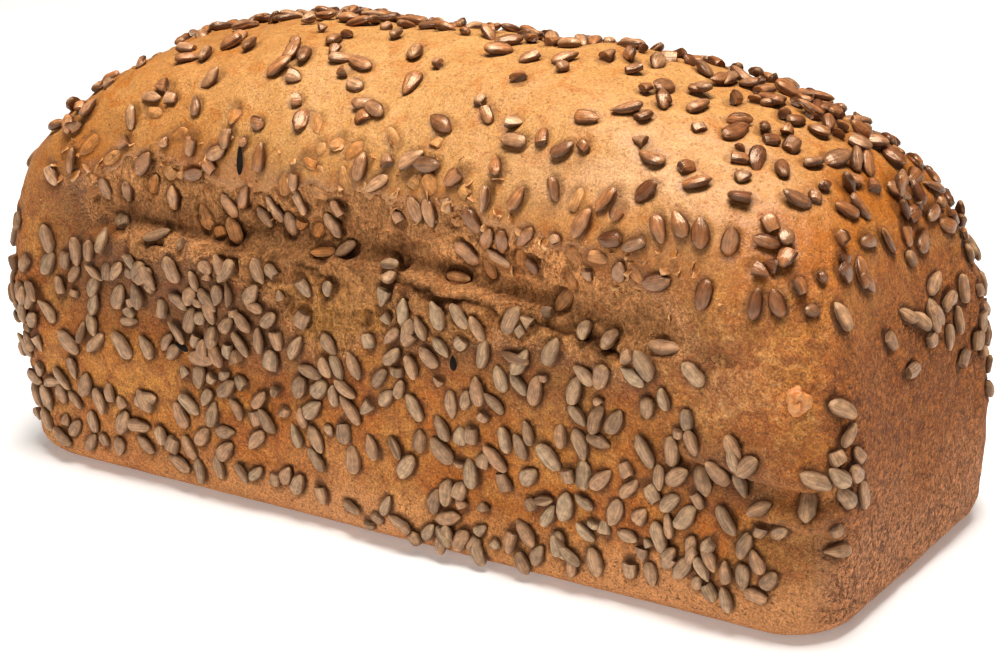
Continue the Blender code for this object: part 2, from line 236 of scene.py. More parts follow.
class Loaf:
    """The loaf's crust as a surface over turn (0 to 4 round it) and rise (0 base to 1 crown)."""

    def __init__(self, sizes):
        self.sizes = sizes
        self.share, self.level, self.full, self.inset = self.profile()

    def profile(self):
        """Heights and fullness of the outline against the share of its length, base to crown."""
        sizes = self.sizes
        bend = np.linspace(0.0, math.pi / 2, 30)
        foot_z = sizes.base_edge * (1.0 - np.cos(bend))
        foot_inset = sizes.base_edge * (1.0 - np.sin(bend))
        wall_z = np.linspace(sizes.base_edge, sizes.wall_top, 30)[1:]
        steep = np.linspace(0.0, 0.86, 200)[1:]
        full_at_shoulder = 1.0 - steep[-1] ** DOME_RISE
        flat = np.linspace(full_at_shoulder ** (1.0 / DOME_ACROSS), 0.0, 200)[1:] ** DOME_ACROSS
        dome_full = np.concatenate([1.0 - steep ** DOME_RISE, flat])
        lift = (1.0 - dome_full) ** (1.0 / DOME_RISE)
        dome_z = sizes.wall_top + (sizes.height - sizes.wall_top) * lift
        z = np.concatenate([foot_z, wall_z, dome_z])
        full = np.concatenate([np.ones(len(foot_z) + len(wall_z)), dome_full])
        inset = np.concatenate([foot_inset, np.zeros(len(wall_z) + len(dome_z))])
        across = sizes.width / 2 * full ** (1.0 / DOME_ACROSS) - inset
        share = np.concatenate([[0.0], np.cumsum(np.hypot(np.diff(across), np.diff(z)))])
        return share / share[-1], z, full, inset

    def smooth_shell(self, turn, rise):
        """The loaf without its relief: a rounded rectangle that shrinks into the dome."""
        sizes = self.sizes
        turn, rise = np.broadcast_arrays(np.asarray(turn, float) % 4.0, np.asarray(rise, float))
        z = np.interp(rise, self.share, self.level)
        full = np.interp(rise, self.share, self.full)
        inset = np.interp(rise, self.share, self.inset)
        taper = np.clip(1.0 - z / sizes.wall_top, 0.0, 1.0)
        half_x = (sizes.length / 2 - TIN_TAPER_X * taper) * full ** (1.0 / DOME_ALONG) - inset
        half_y = (sizes.width / 2 - TIN_TAPER_Y * taper) * full ** (1.0 / DOME_ACROSS) - inset
        lean = np.clip((z - sizes.wall_top) / (sizes.height - sizes.wall_top), 0.0, 1.0)
        radius = sizes.corner_low + (sizes.corner_high - sizes.corner_low) * lean
        radius = np.minimum(radius, 0.98 * half_y)
        side = np.floor(turn)
        along = 2.0 * (turn - side) - 1.0
        square_x = np.choose(side.astype(int), [along, 1.0, -along, -1.0])
        square_y = np.choose(side.astype(int), [-1.0, along, 1.0, -along])
        flat_x, flat_y = half_x * square_x, half_y * square_y
        core_x = np.clip(flat_x, radius - half_x, half_x - radius)
        core_y = np.clip(flat_y, radius - half_y, half_y - radius)
        reach = np.hypot(flat_x - core_x, flat_y - core_y) + 1e-9
        x = core_x + (flat_x - core_x) / reach * radius
        y = core_y + (flat_y - core_y) / reach * radius
        return np.stack([x, y, z], axis=-1)

    def normals(self, surface, turn, rise):
        """Outward normals and area of a surface's patches, from small steps both ways."""
        step = 0.002
        low = np.clip(rise - step, 0.0, 1.0)
        high = np.clip(rise + step, 0.0, 0.999)
        around = surface(turn + step, rise) - surface(turn - step, rise)
        upward = surface(turn, high) - surface(turn, low)
        cross = np.cross(around, upward)
        size = np.linalg.norm(cross, axis=-1, keepdims=True) + 1e-15
        return cross / size, size[..., 0]

    def tear_lines(self, x):
        """Heights of the tear's upper edge and of its crevice along the loaf."""
        middle = TEAR_Z + 0.0035 * np.sin(29.0 * x + 1.9) + 0.0018 * np.sin(71.0 * x)
        crevice = middle - TEAR_HEIGHT * (0.24 + 0.06 * np.sin(83.0 * x))
        return middle + TEAR_HEIGHT * 0.5, crevice

    def tear(self, x, z, depth, start, end):
        """One side's tear: a slope that sinks from the dome's shoulder to a crevice over a lip."""
        top, crevice = self.tear_lines(x)
        reach = smooth(x, start, start + TEAR_FADE) * smooth(x, end, end - TEAR_FADE)
        sunk = smooth(z, top + 0.004, crevice) * smooth(z, crevice - 0.0055, crevice - 0.0005)
        shoulder = SHOULDER_SWELL * hump(z, top + 0.008, 0.010)
        lip = SHOULDER_SWELL * 0.7 * hump(z, crevice - 0.009, 0.006)
        return reach * (shoulder + lip - depth * (0.85 + 0.15 * np.sin(47.0 * x)) * sunk)

    def folds(self, x, z):
        """Two lips of dough at the front's right end, each over a short groove."""
        total = 0.0
        for start, height in ((0.096, 0.047), (0.113, 0.034)):
            line = height - 0.09 * (x - start)
            reach = smooth(x, start, start + 0.012)
            total = total + reach * hump(z, line + 0.004, 0.0045)
            total = total - 0.7 * reach * hump(z, line - 0.003, 0.003)
        return FOLD_SWELL * total

    def slow_waves(self, x, y, z):
        """Gentle unevenness with waves of about 40 to 90 mm."""
        total = np.sin(74.0 * x + 31.0 * z + 0.7) * np.cos(58.0 * z + 22.0 * y)
        total = total + 0.8 * (np.sin(121.0 * x - 47.0 * y + 2.1)
                               * np.cos(96.0 * y + 35.0 * z + 1.3))
        return total + 0.6 * np.sin(143.0 * z + 39.0 * x)

    def relief(self, place, facing):
        """How far the crust stands out of the smooth shell."""
        sizes = self.sizes
        x, y, z = place[..., 0], place[..., 1], place[..., 2]
        front = smooth(-facing[..., 1], 0.15, 0.65)
        back = smooth(facing[..., 1], 0.15, 0.65)
        end = smooth(np.abs(facing[..., 0]), 0.5, 0.95)
        total = front * self.tear(x, z, sizes.tear_depth, TEAR_START, TEAR_END)
        total = total + back * self.tear(-x + BACK_TEAR_SHIFT, z, sizes.tear_back_depth, TEAR_START,
                                         TEAR_END)
        total = total + front * self.folds(x, z)
        hollow = np.clip(1.0 - (y / 0.042) ** 2, 0.0, 1.0) * smooth(z, 0.008, 0.03)
        total = total - END_HOLLOW * end * hollow * smooth(z, 0.105, 0.075)
        return total + UNEVEN * smooth(z, 0.0, 0.012) * self.slow_waves(x, y, z)

    def crust(self, turn, rise):
        """A point of the crust, or an array of them."""
        turn = np.asarray(turn, float)
        rise = np.asarray(rise, float)
        place = self.smooth_shell(turn, rise)
        facing, _ = self.normals(self.smooth_shell, turn, rise)
        return place + facing * self.relief(place, facing)[..., None]

    def at_height(self, turn, height):
        """The crust's point and its outward direction at a turn and a height."""
        rise = np.interp(height, self.level, self.share)
        return self.crust(turn, rise), self.normals(self.crust, turn, rise)[0]

    def torn(self, place, facing):
        """Where the crust is torn open to rough crumb, from 0 to 1."""
        x, z = place[..., 0], place[..., 2]
        wobble = fine_relief(place, TORN_WOBBLE, 5)
        total = 0.0
        for way, shift, amount in ((-1.0, 0.0, 1.0), (1.0, BACK_TEAR_SHIFT, 0.8)):
            along = x if way < 0.0 else -x + shift
            top = 0.0965 - 0.011 * smooth(along, 0.020, 0.100)
            foot = 0.0750 - 0.019 * hump(along, -0.010, 0.020) - 0.011 * hump(along, 0.036, 0.022)
            foot = foot - 0.007 * hump(along, 0.078, 0.014)
            shift_x = along + 1.6 * wobble
            reach = smooth(shift_x, -0.114, -0.082) * smooth(shift_x, 0.116, 0.076)
            band = smooth(z, top + 0.009 + wobble, top - 0.007 + wobble)
            band = band * smooth(z, foot - 0.006 + wobble, foot + 0.005 + wobble)
            total = total + amount * reach * band * smooth(way * facing[..., 1], 0.15, 0.6)
        return np.clip(total, 0.0, 1.0)


# ---------------------------------------------------------------- kernels: where they lie

FIRST_TRIES = 16000
FIRST_SPREAD = 0.12
FIRST_SPACING = 0.0093
LEAN = math.radians(48.0)
LEAN_ON_TOP = 1.6
TIP_DOWN = 0.42
LOWEST_KERNEL = 0.0007
LARGE_SIZE = 0.93
SMALL_SIZE = 0.76
SMALL_SPREAD = 0.22
STACKED = 0.045
CHIPPED = 0.20
CHIPPED_ON_TOP = 0.22
ROOM_FOR_WHOLE = 0.80
ROOM_FOR_BROKEN = 0.72

# Patches of the front wall: middle and reach along X, middle and reach upwards, share.
BARE_PATCHES = ((-0.014, 0.026, 0.012, 0.013, 0.97), (-0.010, 0.018, 0.066, 0.011, 0.95),
                (0.114, 0.026, 0.066, 0.014, 0.96), (-0.076, 0.009, 0.036, 0.007, 0.90),
                (0.045, 0.007, 0.024, 0.010, 0.80), (-0.090, 0.010, 0.022, 0.008, 0.60))
CROWDED_PATCHES = ((0.024, 0.014, 0.026, 0.020, 0.55), (0.064, 0.014, 0.024, 0.017, 0.50),
                   (0.105, 0.017, 0.043, 0.007, 0.60), (-0.058, 0.026, 0.056, 0.009, 0.50),
                   (-0.105, 0.018, 0.048, 0.012, 0.50), (-0.040, 0.010, 0.044, 0.006, 0.45),
                   (0.022, 0.010, 0.062, 0.009, 0.50), (0.070, 0.016, 0.062, 0.005, 0.50),
                   (-0.082, 0.018, 0.072, 0.005, 0.50), (0.105, 0.025, 0.016, 0.008, 0.35))


def front_density(x, z):
    """Crowding on the front wall: bare and crowded patches, a nearly bare tear, a bare foot."""
    density = np.full(x.shape, 0.80)
    for middle_x, reach_x, middle_z, reach_z, share in CROWDED_PATCHES:
        density = density + share * hump(x, middle_x, reach_x) * hump(z, middle_z, reach_z)
    for middle_x, reach_x, middle_z, reach_z, share in BARE_PATCHES:
        density = density * (1.0 - share * hump(x, middle_x, reach_x) * hump(z, middle_z, reach_z))
    foot = 0.0055 + 0.0045 * smooth(np.abs(x - 0.044), 0.030, 0.042)
    density = density * smooth(z, foot - 0.001, foot + 0.002)
    density = density * (1.0 - 0.75 * smooth(x, 0.121, 0.128))
    density = np.where(z > 0.076, 0.06, density)
    return np.where(z > 0.087, 0.45 * smooth(x, 0.120, 0.095), density)


def end_density(y, z):
    """Crowding on an end face: a cluster under the dome, a column by the corner, else bare."""
    cluster = hump(y, 0.015, 0.019) * hump(z, 0.069, 0.012)
    column = hump(np.abs(y), 0.041, 0.006) * smooth(z, 0.028, 0.034) * smooth(z, 0.070, 0.064)
    return np.where(z > 0.086, 0.40, 0.02 + 0.60 * cluster + 0.38 * column)


def first_density(place, facing):
    """Share of full crowding for the large kernels, as in the solid."""
    x, y, z = place.T
    back = 0.55 + 0.45 * np.sin(95.0 * x + 40.0 * z) * np.cos(110.0 * z - 30.0 * x)
    back = np.where(z > 0.078, 0.30, back)
    dome = 0.30 + 0.50 * smooth(y, -0.004, 0.026) + 0.14 * smooth(x, 0.04, 0.11)
    wall = np.where(facing[:, 1] < 0.0, front_density(x, z), back)
    density = np.where(np.abs(facing[:, 0]) > 0.7, end_density(y, z), wall)
    return np.clip(np.where(facing[:, 2] > 0.35, dome, density), 0.0, 1.0) * (z > 0.0045)


# Where small kernels lie closer or further apart: middle along X and upwards, reaches, change.
GAP_PATCHES = ((0.042, 0.046, 0.014, 0.009, 0.60), (0.063, 0.021, 0.013, 0.009, 0.50),
               (0.057, 0.057, 0.012, 0.006, 0.50), (-0.090, 0.018, 0.014, 0.010, -0.60),
               (0.100, 0.036, 0.010, 0.006, -0.40), (0.138, 0.050, 0.0030, 0.016, 0.42))


def gap_density(place, facing):
    """Share of full crowding for the kernels that fill the gaps, in clusters."""
    x, y, z = place.T
    clusters = 0.12 + 1.1 * smooth(bumps(place, 0.0125, 3), -0.35, 0.30)
    front = np.clip(1.25 * (front_density(x, z) - 0.25), 0.0, 1.3) * clusters
    edge = hump(x, 0.018, 0.034) * smooth(z, 0.0042, 0.0052) * smooth(z, 0.014, 0.010)
    corner = smooth(x, -0.045, -0.058) * smooth(z, 0.0075, 0.0090) * smooth(z, 0.034, 0.024)
    front = np.maximum(front, np.maximum(1.2 * edge, 0.75 * corner))
    for middle, height, reach, tall, change in GAP_PATCHES:
        front = front + change * patch(x, z, middle, height, reach, tall)
    front = np.where(z > 0.087, 0.10, front)
    back = np.where(z > 0.076, 0.10, 0.85) * clusters
    end = np.clip(0.8 * (end_density(y, z) - 0.06), 0.0, 1.0) * np.where(z > 0.086, 0.4, 1.0)
    column = hump(y, -0.043, 0.006) * smooth(z, 0.022, 0.030) * smooth(z, 0.080, 0.070)
    end = end + 0.34 * column * (x > 0.0)
    dome = 0.06 + 0.50 * smooth(y, -0.004, 0.026) + 0.10 * smooth(x, 0.04, 0.11)
    density = np.where(facing[:, 1] < 0.0, front, back)
    density = np.where(np.abs(facing[:, 0]) > 0.7, end, density)
    return np.clip(np.where(facing[:, 2] > 0.35, dome, density), 0.0, 1.3) * (z > 0.004)


def covered_density(place, facing):
    """Where kernels lie sunk in the dough: in the tear and along the dome's front."""
    x, z = place[:, 0], place[:, 2]
    front = smooth(-facing[:, 1], 0.10, 0.40) * smooth(z, 0.078, 0.084) * smooth(z, 0.120, 0.104)
    patchy = smooth(bumps(place, 0.018, 4), -0.6, 0.1)
    along = smooth(x, -0.118, -0.100) * smooth(x, 0.100, 0.080)
    return 2.2 * front * patchy * along * (0.55 + 0.45 * hump(x, -0.020, 0.040))


# Places that small kernels stay clear of: turn round the loaf, height and radius in mm.
CLEAR_SPOTS = ((0.971, 67.5, 8.0), (0.329, 103.4, 2.5), (0.264, 47.3, 2.2), (0.607, 60.5, 2.2))


class Kernels:
    """Every kernel's place, turn and size, drawn in a fixed order."""

    def __init__(self, loaf, sizes):
        self.loaf = loaf
        self.sizes = sizes
        self.rows = []
        self.discs = np.zeros((0, 3))
        self.radii = np.zeros(0)
        self.throw_first()
        held = slice(len(self.radii), len(self.radii) + len(CLEAR_SPOTS))
        self.keep_clear()
        self.throw_more("gap", gap_density, 60000, sizes.small, 1)
        self.throw_more("covered", covered_density, 9000, sizes.covered, 2)
        self.discs = np.delete(self.discs, held, axis=0)
        self.radii = np.delete(self.radii, held)
        torn = loaf.torn(np.array([row["spot"] for row in self.rows]),
                         np.array([row["axes"][2] for row in self.rows]))
        for row, share in zip(self.rows, torn):
            row["torn"] = float(share)

    def spots(self, draws):
        """Places, facings and relative areas for rows of random draws."""
        turn = draws[:, 0] * 4.0
        rise = 0.02 + 0.975 * draws[:, 1]
        place = self.loaf.crust(turn, rise)
        facing, area = self.loaf.normals(self.loaf.crust, turn, rise)
        return place, facing, area / area.max()

    def leans(self, draws, facing):
        """How far each kernel turns from upright, freely on the dome, some with the tip down."""
        loose = 1.0 + LEAN_ON_TOP * np.clip(facing[:, 2], 0.0, 1.0)
        leans = LEAN * (2.0 * draws[:, 4] - 1.0) * loose
        return leans + math.pi * (draws[:, 5] < TIP_DOWN)

    def throw_first(self):
        """The large kernels, spread evenly, in the same places as in the solid."""
        draw = random.Random(self.sizes.seed)
        draws = np.array([[draw.random() for _ in range(6)] for _ in range(FIRST_TRIES)])
        place, facing, area = self.spots(draws)
        density = first_density(place, facing)
        kept = []
        for index in np.flatnonzero(draws[:, 2] < area * density):
            spacing = FIRST_SPACING / math.sqrt(max(density[index], 0.1))
            near = [np.linalg.norm(place[index] - place[other]) < spacing for other in kept]
            if not any(near):
                kept.append(index)
            if len(kept) == self.sizes.large:
                break
        leans = self.leans(draws, facing)
        for index in kept:
            size = LARGE_SIZE * (1.0 + FIRST_SPREAD * (2.0 * draws[index, 3] - 1.0))
            self.add("large", place[index], facing[index], leans[index], size, 1.0)

    def keep_clear(self):
        """Holds the places of the blister and the husks free of small kernels."""
        for turn, height, radius in CLEAR_SPOTS:
            place, _ = self.loaf.at_height(turn, height * MM)
            self.discs = np.concatenate([self.discs, [place]])
            self.radii = np.concatenate([self.radii, [radius * MM]])

    def throw_more(self, kind, density, tries, most, step):
        """Kernels of one kind wherever there is room, some of them broken."""
        draw = random.Random(self.sizes.seed + step)
        draws = np.array([[draw.random() for _ in range(7)] for _ in range(tries)])
        place, facing, area = self.spots(draws)
        leans = self.leans(draws, facing) * (1.0 + (draws[:, 6] > 0.75))
        kept = 0
        for index in np.flatnonzero(draws[:, 2] < area * density(place, facing)):
            size = SMALL_SIZE + SMALL_SPREAD * draws[index, 3]
            stacked = kind == "gap" and draws[index, 6] < STACKED
            chips = CHIPPED + CHIPPED_ON_TOP * float(facing[index, 2] > 0.35)
            broken = STACKED < draws[index, 6] < STACKED + chips
            room = ROOM_FOR_BROKEN if broken else ROOM_FOR_WHOLE
            room = 0.0 if stacked else room
            share = 0.30 + 0.35 * draws[index, 3] if broken else 1.0
            kind_here = "stacked" if stacked else kind
            kept += self.add(kind_here, place[index], facing[index], leans[index], size, share,
                             room)
            if kept == most:
                break

    def axes(self, facing, lean):
        """A kernel's length, width and outward directions."""
        out = Vector(facing)
        uphill = Vector((0.0, 0.0, 1.0)) - out * out.z
        if uphill.length < 0.3:
            uphill = Vector((1.0, 0.0, 0.0)) - out * out.x
        uphill.normalize()
        turned = uphill * math.cos(lean) + out.cross(uphill) * math.sin(lean)
        return turned, out.cross(turned), out

    def add(self, kind, spot, facing, lean, size, share, room=0.0):
        """Keeps a kernel if it lies clear of the table and, where asked, of the others."""
        turned, sideways, out = self.axes(facing, lean)
        spot = Vector(spot)
        half = self.sizes.length * size * share / 2
        wide = self.sizes.width * size / 2
        discs = np.array([spot + turned * half * along for along in (-0.48, 0.02, 0.52)])
        radii = wide * np.array([0.92, 0.98, 0.62]) * (0.75 + 0.25 * share)
        low = spot.z - half * abs(turned.z) - wide * abs(sideways.z)
        if low < LOWEST_KERNEL:
            return False
        if room and len(self.radii):
            apart = np.linalg.norm(self.discs[:, None, :] - discs[None, :, :], axis=-1)
            if (apart < room * (self.radii[:, None] + radii[None, :])).any():
                return False
        self.discs = np.concatenate([self.discs, discs])
        self.radii = np.concatenate([self.radii, radii])
        self.rows.append({"kind": kind, "spot": spot, "axes": (turned, sideways, out), "size": size,
                          "share": share, "index": len(self.rows)})
        return True

    def gaps(self, place):
        """How far each point is from the nearest kernel's edge."""
        tree = KDTree(len(self.discs))
        for index, disc in enumerate(self.discs):
            tree.insert(disc, index)
        tree.balance()
        gaps = np.empty(len(place))
        for index, spot in enumerate(place):
            found = tree.find_n(spot, 3)
            gaps[index] = min(distance - self.radii[disc] for _, disc, distance in found)
        return gaps


# ---------------------------------------------------------------- small helpers

def new_object(name, vertices, faces, smooth_faces=True):
    """A mesh object in the scene, at the origin."""
    data = bpy.data.meshes.new(name)
    data.from_pydata([tuple(place) for place in vertices], [], [tuple(face) for face in faces])
    if smooth_faces:
        data.shade_smooth()
    thing = bpy.data.objects.new(name, data)
    bpy.context.scene.collection.objects.link(thing)
    return thing


def set_attribute(data, name, values, kind="FLOAT"):
    """Stores one value for each vertex."""
    layer = data.attributes.new(name, kind, "POINT")
    field = "vector" if kind == "FLOAT_VECTOR" else "value"
    layer.data.foreach_set(field, np.asarray(values).ravel())


def finish_piece(piece):
    """Ties a piece to the loaf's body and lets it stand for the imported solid."""
    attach(piece, "root")
    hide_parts("loaf")
    return piece


class Nodes:
    """Adds nodes to a tree and joins them, so that a material reads like a recipe."""

    def __init__(self, tree):
        self.tree = tree

    def add(self, kind, inputs=(), **settings):
        node = self.tree.nodes.new(kind)
        for name, value in settings.items():
            setattr(node, name, value)
        self.fill(node, dict(inputs))
        return node

    def fill(self, node, values):
        for name, value in values.items():
            self.feed(node.inputs[name], value)

    def feed(self, socket, value):
        if isinstance(value, bpy.types.NodeSocket):
            self.tree.links.new(value, socket)
        elif socket.type == "RGBA" and len(value) == 3:
            socket.default_value = rgba(value)
        else:
            socket.default_value = value

    def maths(self, operation, first, second=0.5, clamp=False):
        node = self.add("ShaderNodeMath", {0: first, 1: second}, operation=operation)
        node.use_clamp = clamp
        return node.outputs[0]

    def times(self, first, second):
        return self.maths("MULTIPLY", first, second)

    def plus(self, first, second, clamp=False):
        return self.maths("ADD", first, second, clamp)

    def minus(self, first, second):
        return self.maths("SUBTRACT", first, second)

    def most(self, first, second):
        return self.maths("MAXIMUM", first, second)

    def noise(self, coordinates, scale, detail=3.0, roughness=0.55, distortion=0.0):
        node = self.add("ShaderNodeTexNoise", {"Vector": coordinates, "Scale": scale,
                                               "Detail": detail, "Roughness": roughness,
                                               "Distortion": distortion})
        return node.outputs["Fac"]

    def span(self, value, low, high, to_low=0.0, to_high=1.0):
        node = self.add("ShaderNodeMapRange", {"Value": value, "From Min": low, "From Max": high,
                                               "To Min": to_low, "To Max": to_high},
                        interpolation_type="SMOOTHSTEP")
        return node.outputs["Result"]

    def mix(self, factor, first, second, blend="MIX"):
        node = self.add("ShaderNodeMix", data_type="RGBA", blend_type=blend)
        node.clamp_factor = True
        self.feed(node.inputs[0], factor)
        self.feed(node.inputs[6], first)
        self.feed(node.inputs[7], second)
        return node.outputs[2]

    def stored(self, name):
        return self.add("ShaderNodeAttribute", attribute_name=name).outputs["Fac"]


def rgba(colour, factor=1.0):
    """A colour of four numbers, made lighter or darker by a factor."""
    return tuple(channel * factor for channel in colour) + (1.0,)


def new_material(name, base, roughness):
    """A material with its nodes ready, and its shader."""
    material = bpy.data.materials.new(name)
    material.use_nodes = True
    material.diffuse_color = rgba(base)
    shader = material.node_tree.nodes["Principled BSDF"]
    shader.inputs["Roughness"].default_value = roughness
    return material, Nodes(material.node_tree), shader


def new_group(name, inputs, outputs):
    """A shader node group with named sockets. Inputs are (name, default)."""
    tree = bpy.data.node_groups.new(name, "ShaderNodeTree")
    for socket_name, value in inputs:
        kind = "NodeSocketVector" if value is None else "NodeSocketFloat"
        socket = tree.interface.new_socket(socket_name, in_out="INPUT", socket_type=kind)
        if value is not None:
            socket.default_value = value
    for socket_name in outputs:
        tree.interface.new_socket(socket_name, in_out="OUTPUT", socket_type="NodeSocketFloat")
    nodes = Nodes(tree)
    return tree, nodes, nodes.add("NodeGroupInput"), nodes.add("NodeGroupOutput")


# ---------------------------------------------------------------- materials

def baked_grain_group():
    """Mottling, specks and pores of a baked dough skin, for colour and for bump."""
    name = "Baked grain"
    if name in bpy.data.node_groups:
        return bpy.data.node_groups[name]
    tree, nodes, given, made = new_group(name, [("Coordinates", None), ("Patch size", 0.018),
                                                ("Grain size", 0.0009), ("Pore share", 0.3)],
                                         ["Patches", "Spots", "Grain", "Pores", "Flecks", "Height"])
    place = given.outputs["Coordinates"]
    patch_scale = nodes.maths("DIVIDE", 1.0, given.outputs["Patch size"])
    grain_scale = nodes.maths("DIVIDE", 1.0, given.outputs["Grain size"])
    patches = nodes.noise(place, patch_scale, 4.0, 0.62, 0.6)
    spots = nodes.noise(place, nodes.times(patch_scale, 4.3), 4.0, 0.68, 0.8)
    grain = nodes.noise(place, grain_scale, 4.0, 0.78, 0.3)
    holes = nodes.noise(place, nodes.times(grain_scale, 0.62), 2.0, 0.5, 0.4)
    threads = nodes.noise(place, nodes.times(grain_scale, 0.85), 2.0, 0.5, 1.2)
    limit = nodes.times(given.outputs["Pore share"], 0.25)
    pores = nodes.span(nodes.plus(holes, limit), 0.70, 0.78)
    raised = nodes.times(nodes.span(spots, 0.30, 0.70), 1.2)
    height = nodes.minus(nodes.plus(grain, raised), pores)
    nodes.fill(made, {"Patches": nodes.span(patches, 0.36, 0.64),
                      "Spots": nodes.span(spots, 0.42, 0.64), "Grain": grain, "Pores": pores,
                      "Flecks": nodes.span(threads, 0.60, 0.70), "Height": height})
    return tree


def grain(nodes, place, patch_size, grain_size, pore_share):
    """The baked grain at one set of sizes, as a node."""
    node = nodes.add("ShaderNodeGroup", node_tree=baked_grain_group())
    nodes.fill(node, {"Coordinates": place, "Patch size": patch_size, "Grain size": grain_size,
                      "Pore share": pore_share})
    return node.outputs


# Noises of the crust and the crumb: bumps for each metre, detail, roughness, distortion.
MOTTLE = (125.0, 4.0, 0.62, 0.9)
COARSE = (620.0, 4.0, 0.75, 0.5)
LUMPS = (330.0, 4.0, 0.65, 0.9)
SLITS = (235.0, 2.0, 0.5, 0.6)
DOTS = (950.0, 2.0, 0.55, 0.3)
FIBRES = (640.0, 3.0, 0.65, 1.4)
CLOTS = (170.0, 3.0, 0.6, 0.8)


def crust_material(colours):
    """Crust: golden on the dome, tan and orange on the walls, matte and porous on the ends."""
    material, nodes, shader = new_material("crust", colours.dome, 0.55)
    place = nodes.add("ShaderNodeTexCoord").outputs["Object"]
    skin = grain(nodes, place, 0.019, 0.00065, 0.30)
    wall, end, tan = (nodes.stored(name) for name in ("wall", "end", "tan"))
    browned, hug = nodes.stored("browned"), nodes.stored("hug")
    mottle = nodes.noise(place, *MOTTLE)
    mottle = nodes.plus(nodes.times(skin["Patches"], 0.16),
                        nodes.span(mottle, 0.50, 0.64, -0.10, 0.34))
    brown = nodes.plus(mottle, browned, True)
    base = nodes.mix(brown, colours.dome, colours.browned)
    # Pale dust and painted sheen on the dome's right shoulder.
    base = nodes.mix(nodes.stored("bloom"), base, colours.bloom)
    walls = nodes.mix(skin["Patches"], colours.wall, colours.wall_gold)
    # Paler tan low on walls and ends: partly own colour, partly painted bounce light from the
    # table.
    walls = nodes.mix(tan, walls, colours.wall_tan)
    base = nodes.mix(wall, base, walls)
    ends = nodes.mix(tan, colours.end, colours.end_pale)
    coarse = nodes.noise(place, *COARSE)
    ends = nodes.mix(1.0, ends, nodes.span(coarse, 0.36, 0.64, 0.55, 1.42), "MULTIPLY")
    base = nodes.mix(end, base, ends)
    lumps = nodes.noise(place, *LUMPS)
    crags = nodes.stored("crags")
    base = nodes.mix(nodes.times(nodes.span(lumps, 0.52, 0.42, 0.0, 0.72), crags), base,
                     rgba(colours.wall_deep, 1.1))
    base = nodes.mix(nodes.times(nodes.span(lumps, 0.54, 0.66, 0.0, 0.40), crags), base,
                     colours.fleck)
    # Grey-brown dough and painted shade under the overhang, in the crevices and under the lips.
    base = nodes.mix(nodes.stored("dusk"), base, colours.dusk)
    deep = nodes.times(skin["Spots"], nodes.span(wall, 0.0, 1.0, 0.16, 0.62))
    deep = nodes.times(deep, nodes.span(tan, 0.0, 1.0, 1.0, 0.35))
    base = nodes.mix(deep, base, colours.wall_deep)
    ragged = nodes.minus(nodes.plus(skin["Grain"], nodes.stored("torn")), 0.5)
    base = nodes.mix(nodes.span(ragged, 0.16, 0.50), base, colours.crumb)
    rough_share = nodes.span(wall, 0.0, 1.0, 0.66, 1.0)
    base = nodes.mix(rough_share, base, nodes.span(skin["Grain"], 0.33, 0.67, 0.52, 1.40),
                     "MULTIPLY")
    flecks = nodes.times(skin["Flecks"], nodes.span(wall, 0.0, 1.0, 0.26, 0.32))
    base = nodes.mix(flecks, base, colours.fleck)
    porous = nodes.span(nodes.most(end, tan), 0.0, 1.0, 0.30, 0.70)
    base = nodes.mix(nodes.times(skin["Pores"], porous), base, colours.pore)
    slits = nodes.add("ShaderNodeMapping", {"Vector": place, "Scale": (1.0, 1.9, 0.8),
                                            "Rotation": (0.6, 0.0, 0.0)})
    slits = nodes.noise(slits.outputs[0], *SLITS)
    slits = nodes.times(nodes.span(slits, 0.645, 0.70), end)
    dots = nodes.noise(place, *DOTS)
    dots = nodes.times(nodes.span(dots, 0.55, 0.64), end)
    dots = nodes.times(dots, nodes.span(tan, 0.0, 1.0, 0.45, 1.0))
    base = nodes.mix(nodes.times(nodes.most(slits, dots), 0.66), base, colours.pore)
    # Painted contact shadow: a dark ring on the crust round each kernel.
    base = nodes.mix(nodes.times(hug, nodes.span(wall, 0.0, 1.0, 0.46, 0.80)), base,
                     colours.crumb_pit_shade)
    nodes.feed(shader.inputs["Base Color"], base)
    matte = nodes.most(end, nodes.times(wall, 0.75))
    shine = nodes.span(browned, 0.0, 0.7, 0.48, 0.36)
    rough = nodes.add("ShaderNodeMix", {0: matte, 2: shine, 3: 0.85}, data_type="FLOAT")
    nodes.feed(shader.inputs["Roughness"], rough.outputs[0])
    height = nodes.times(skin["Height"], nodes.span(wall, 0.0, 1.0, 0.45, 1.0))
    deeper = nodes.minus(coarse, nodes.most(slits, dots))
    deeper = nodes.times(deeper, end)
    lumpy = nodes.times(lumps, nodes.times(crags, 3.0))
    height = nodes.plus(nodes.plus(height, lumpy), nodes.times(deeper, 2.8))
    bump = nodes.add("ShaderNodeBump", {"Height": height, "Strength": 0.9, "Distance": 0.00034})
    nodes.feed(shader.inputs["Normal"], bump.outputs["Normal"])
    shader.inputs["Specular IOR Level"].default_value = 0.36
    return material


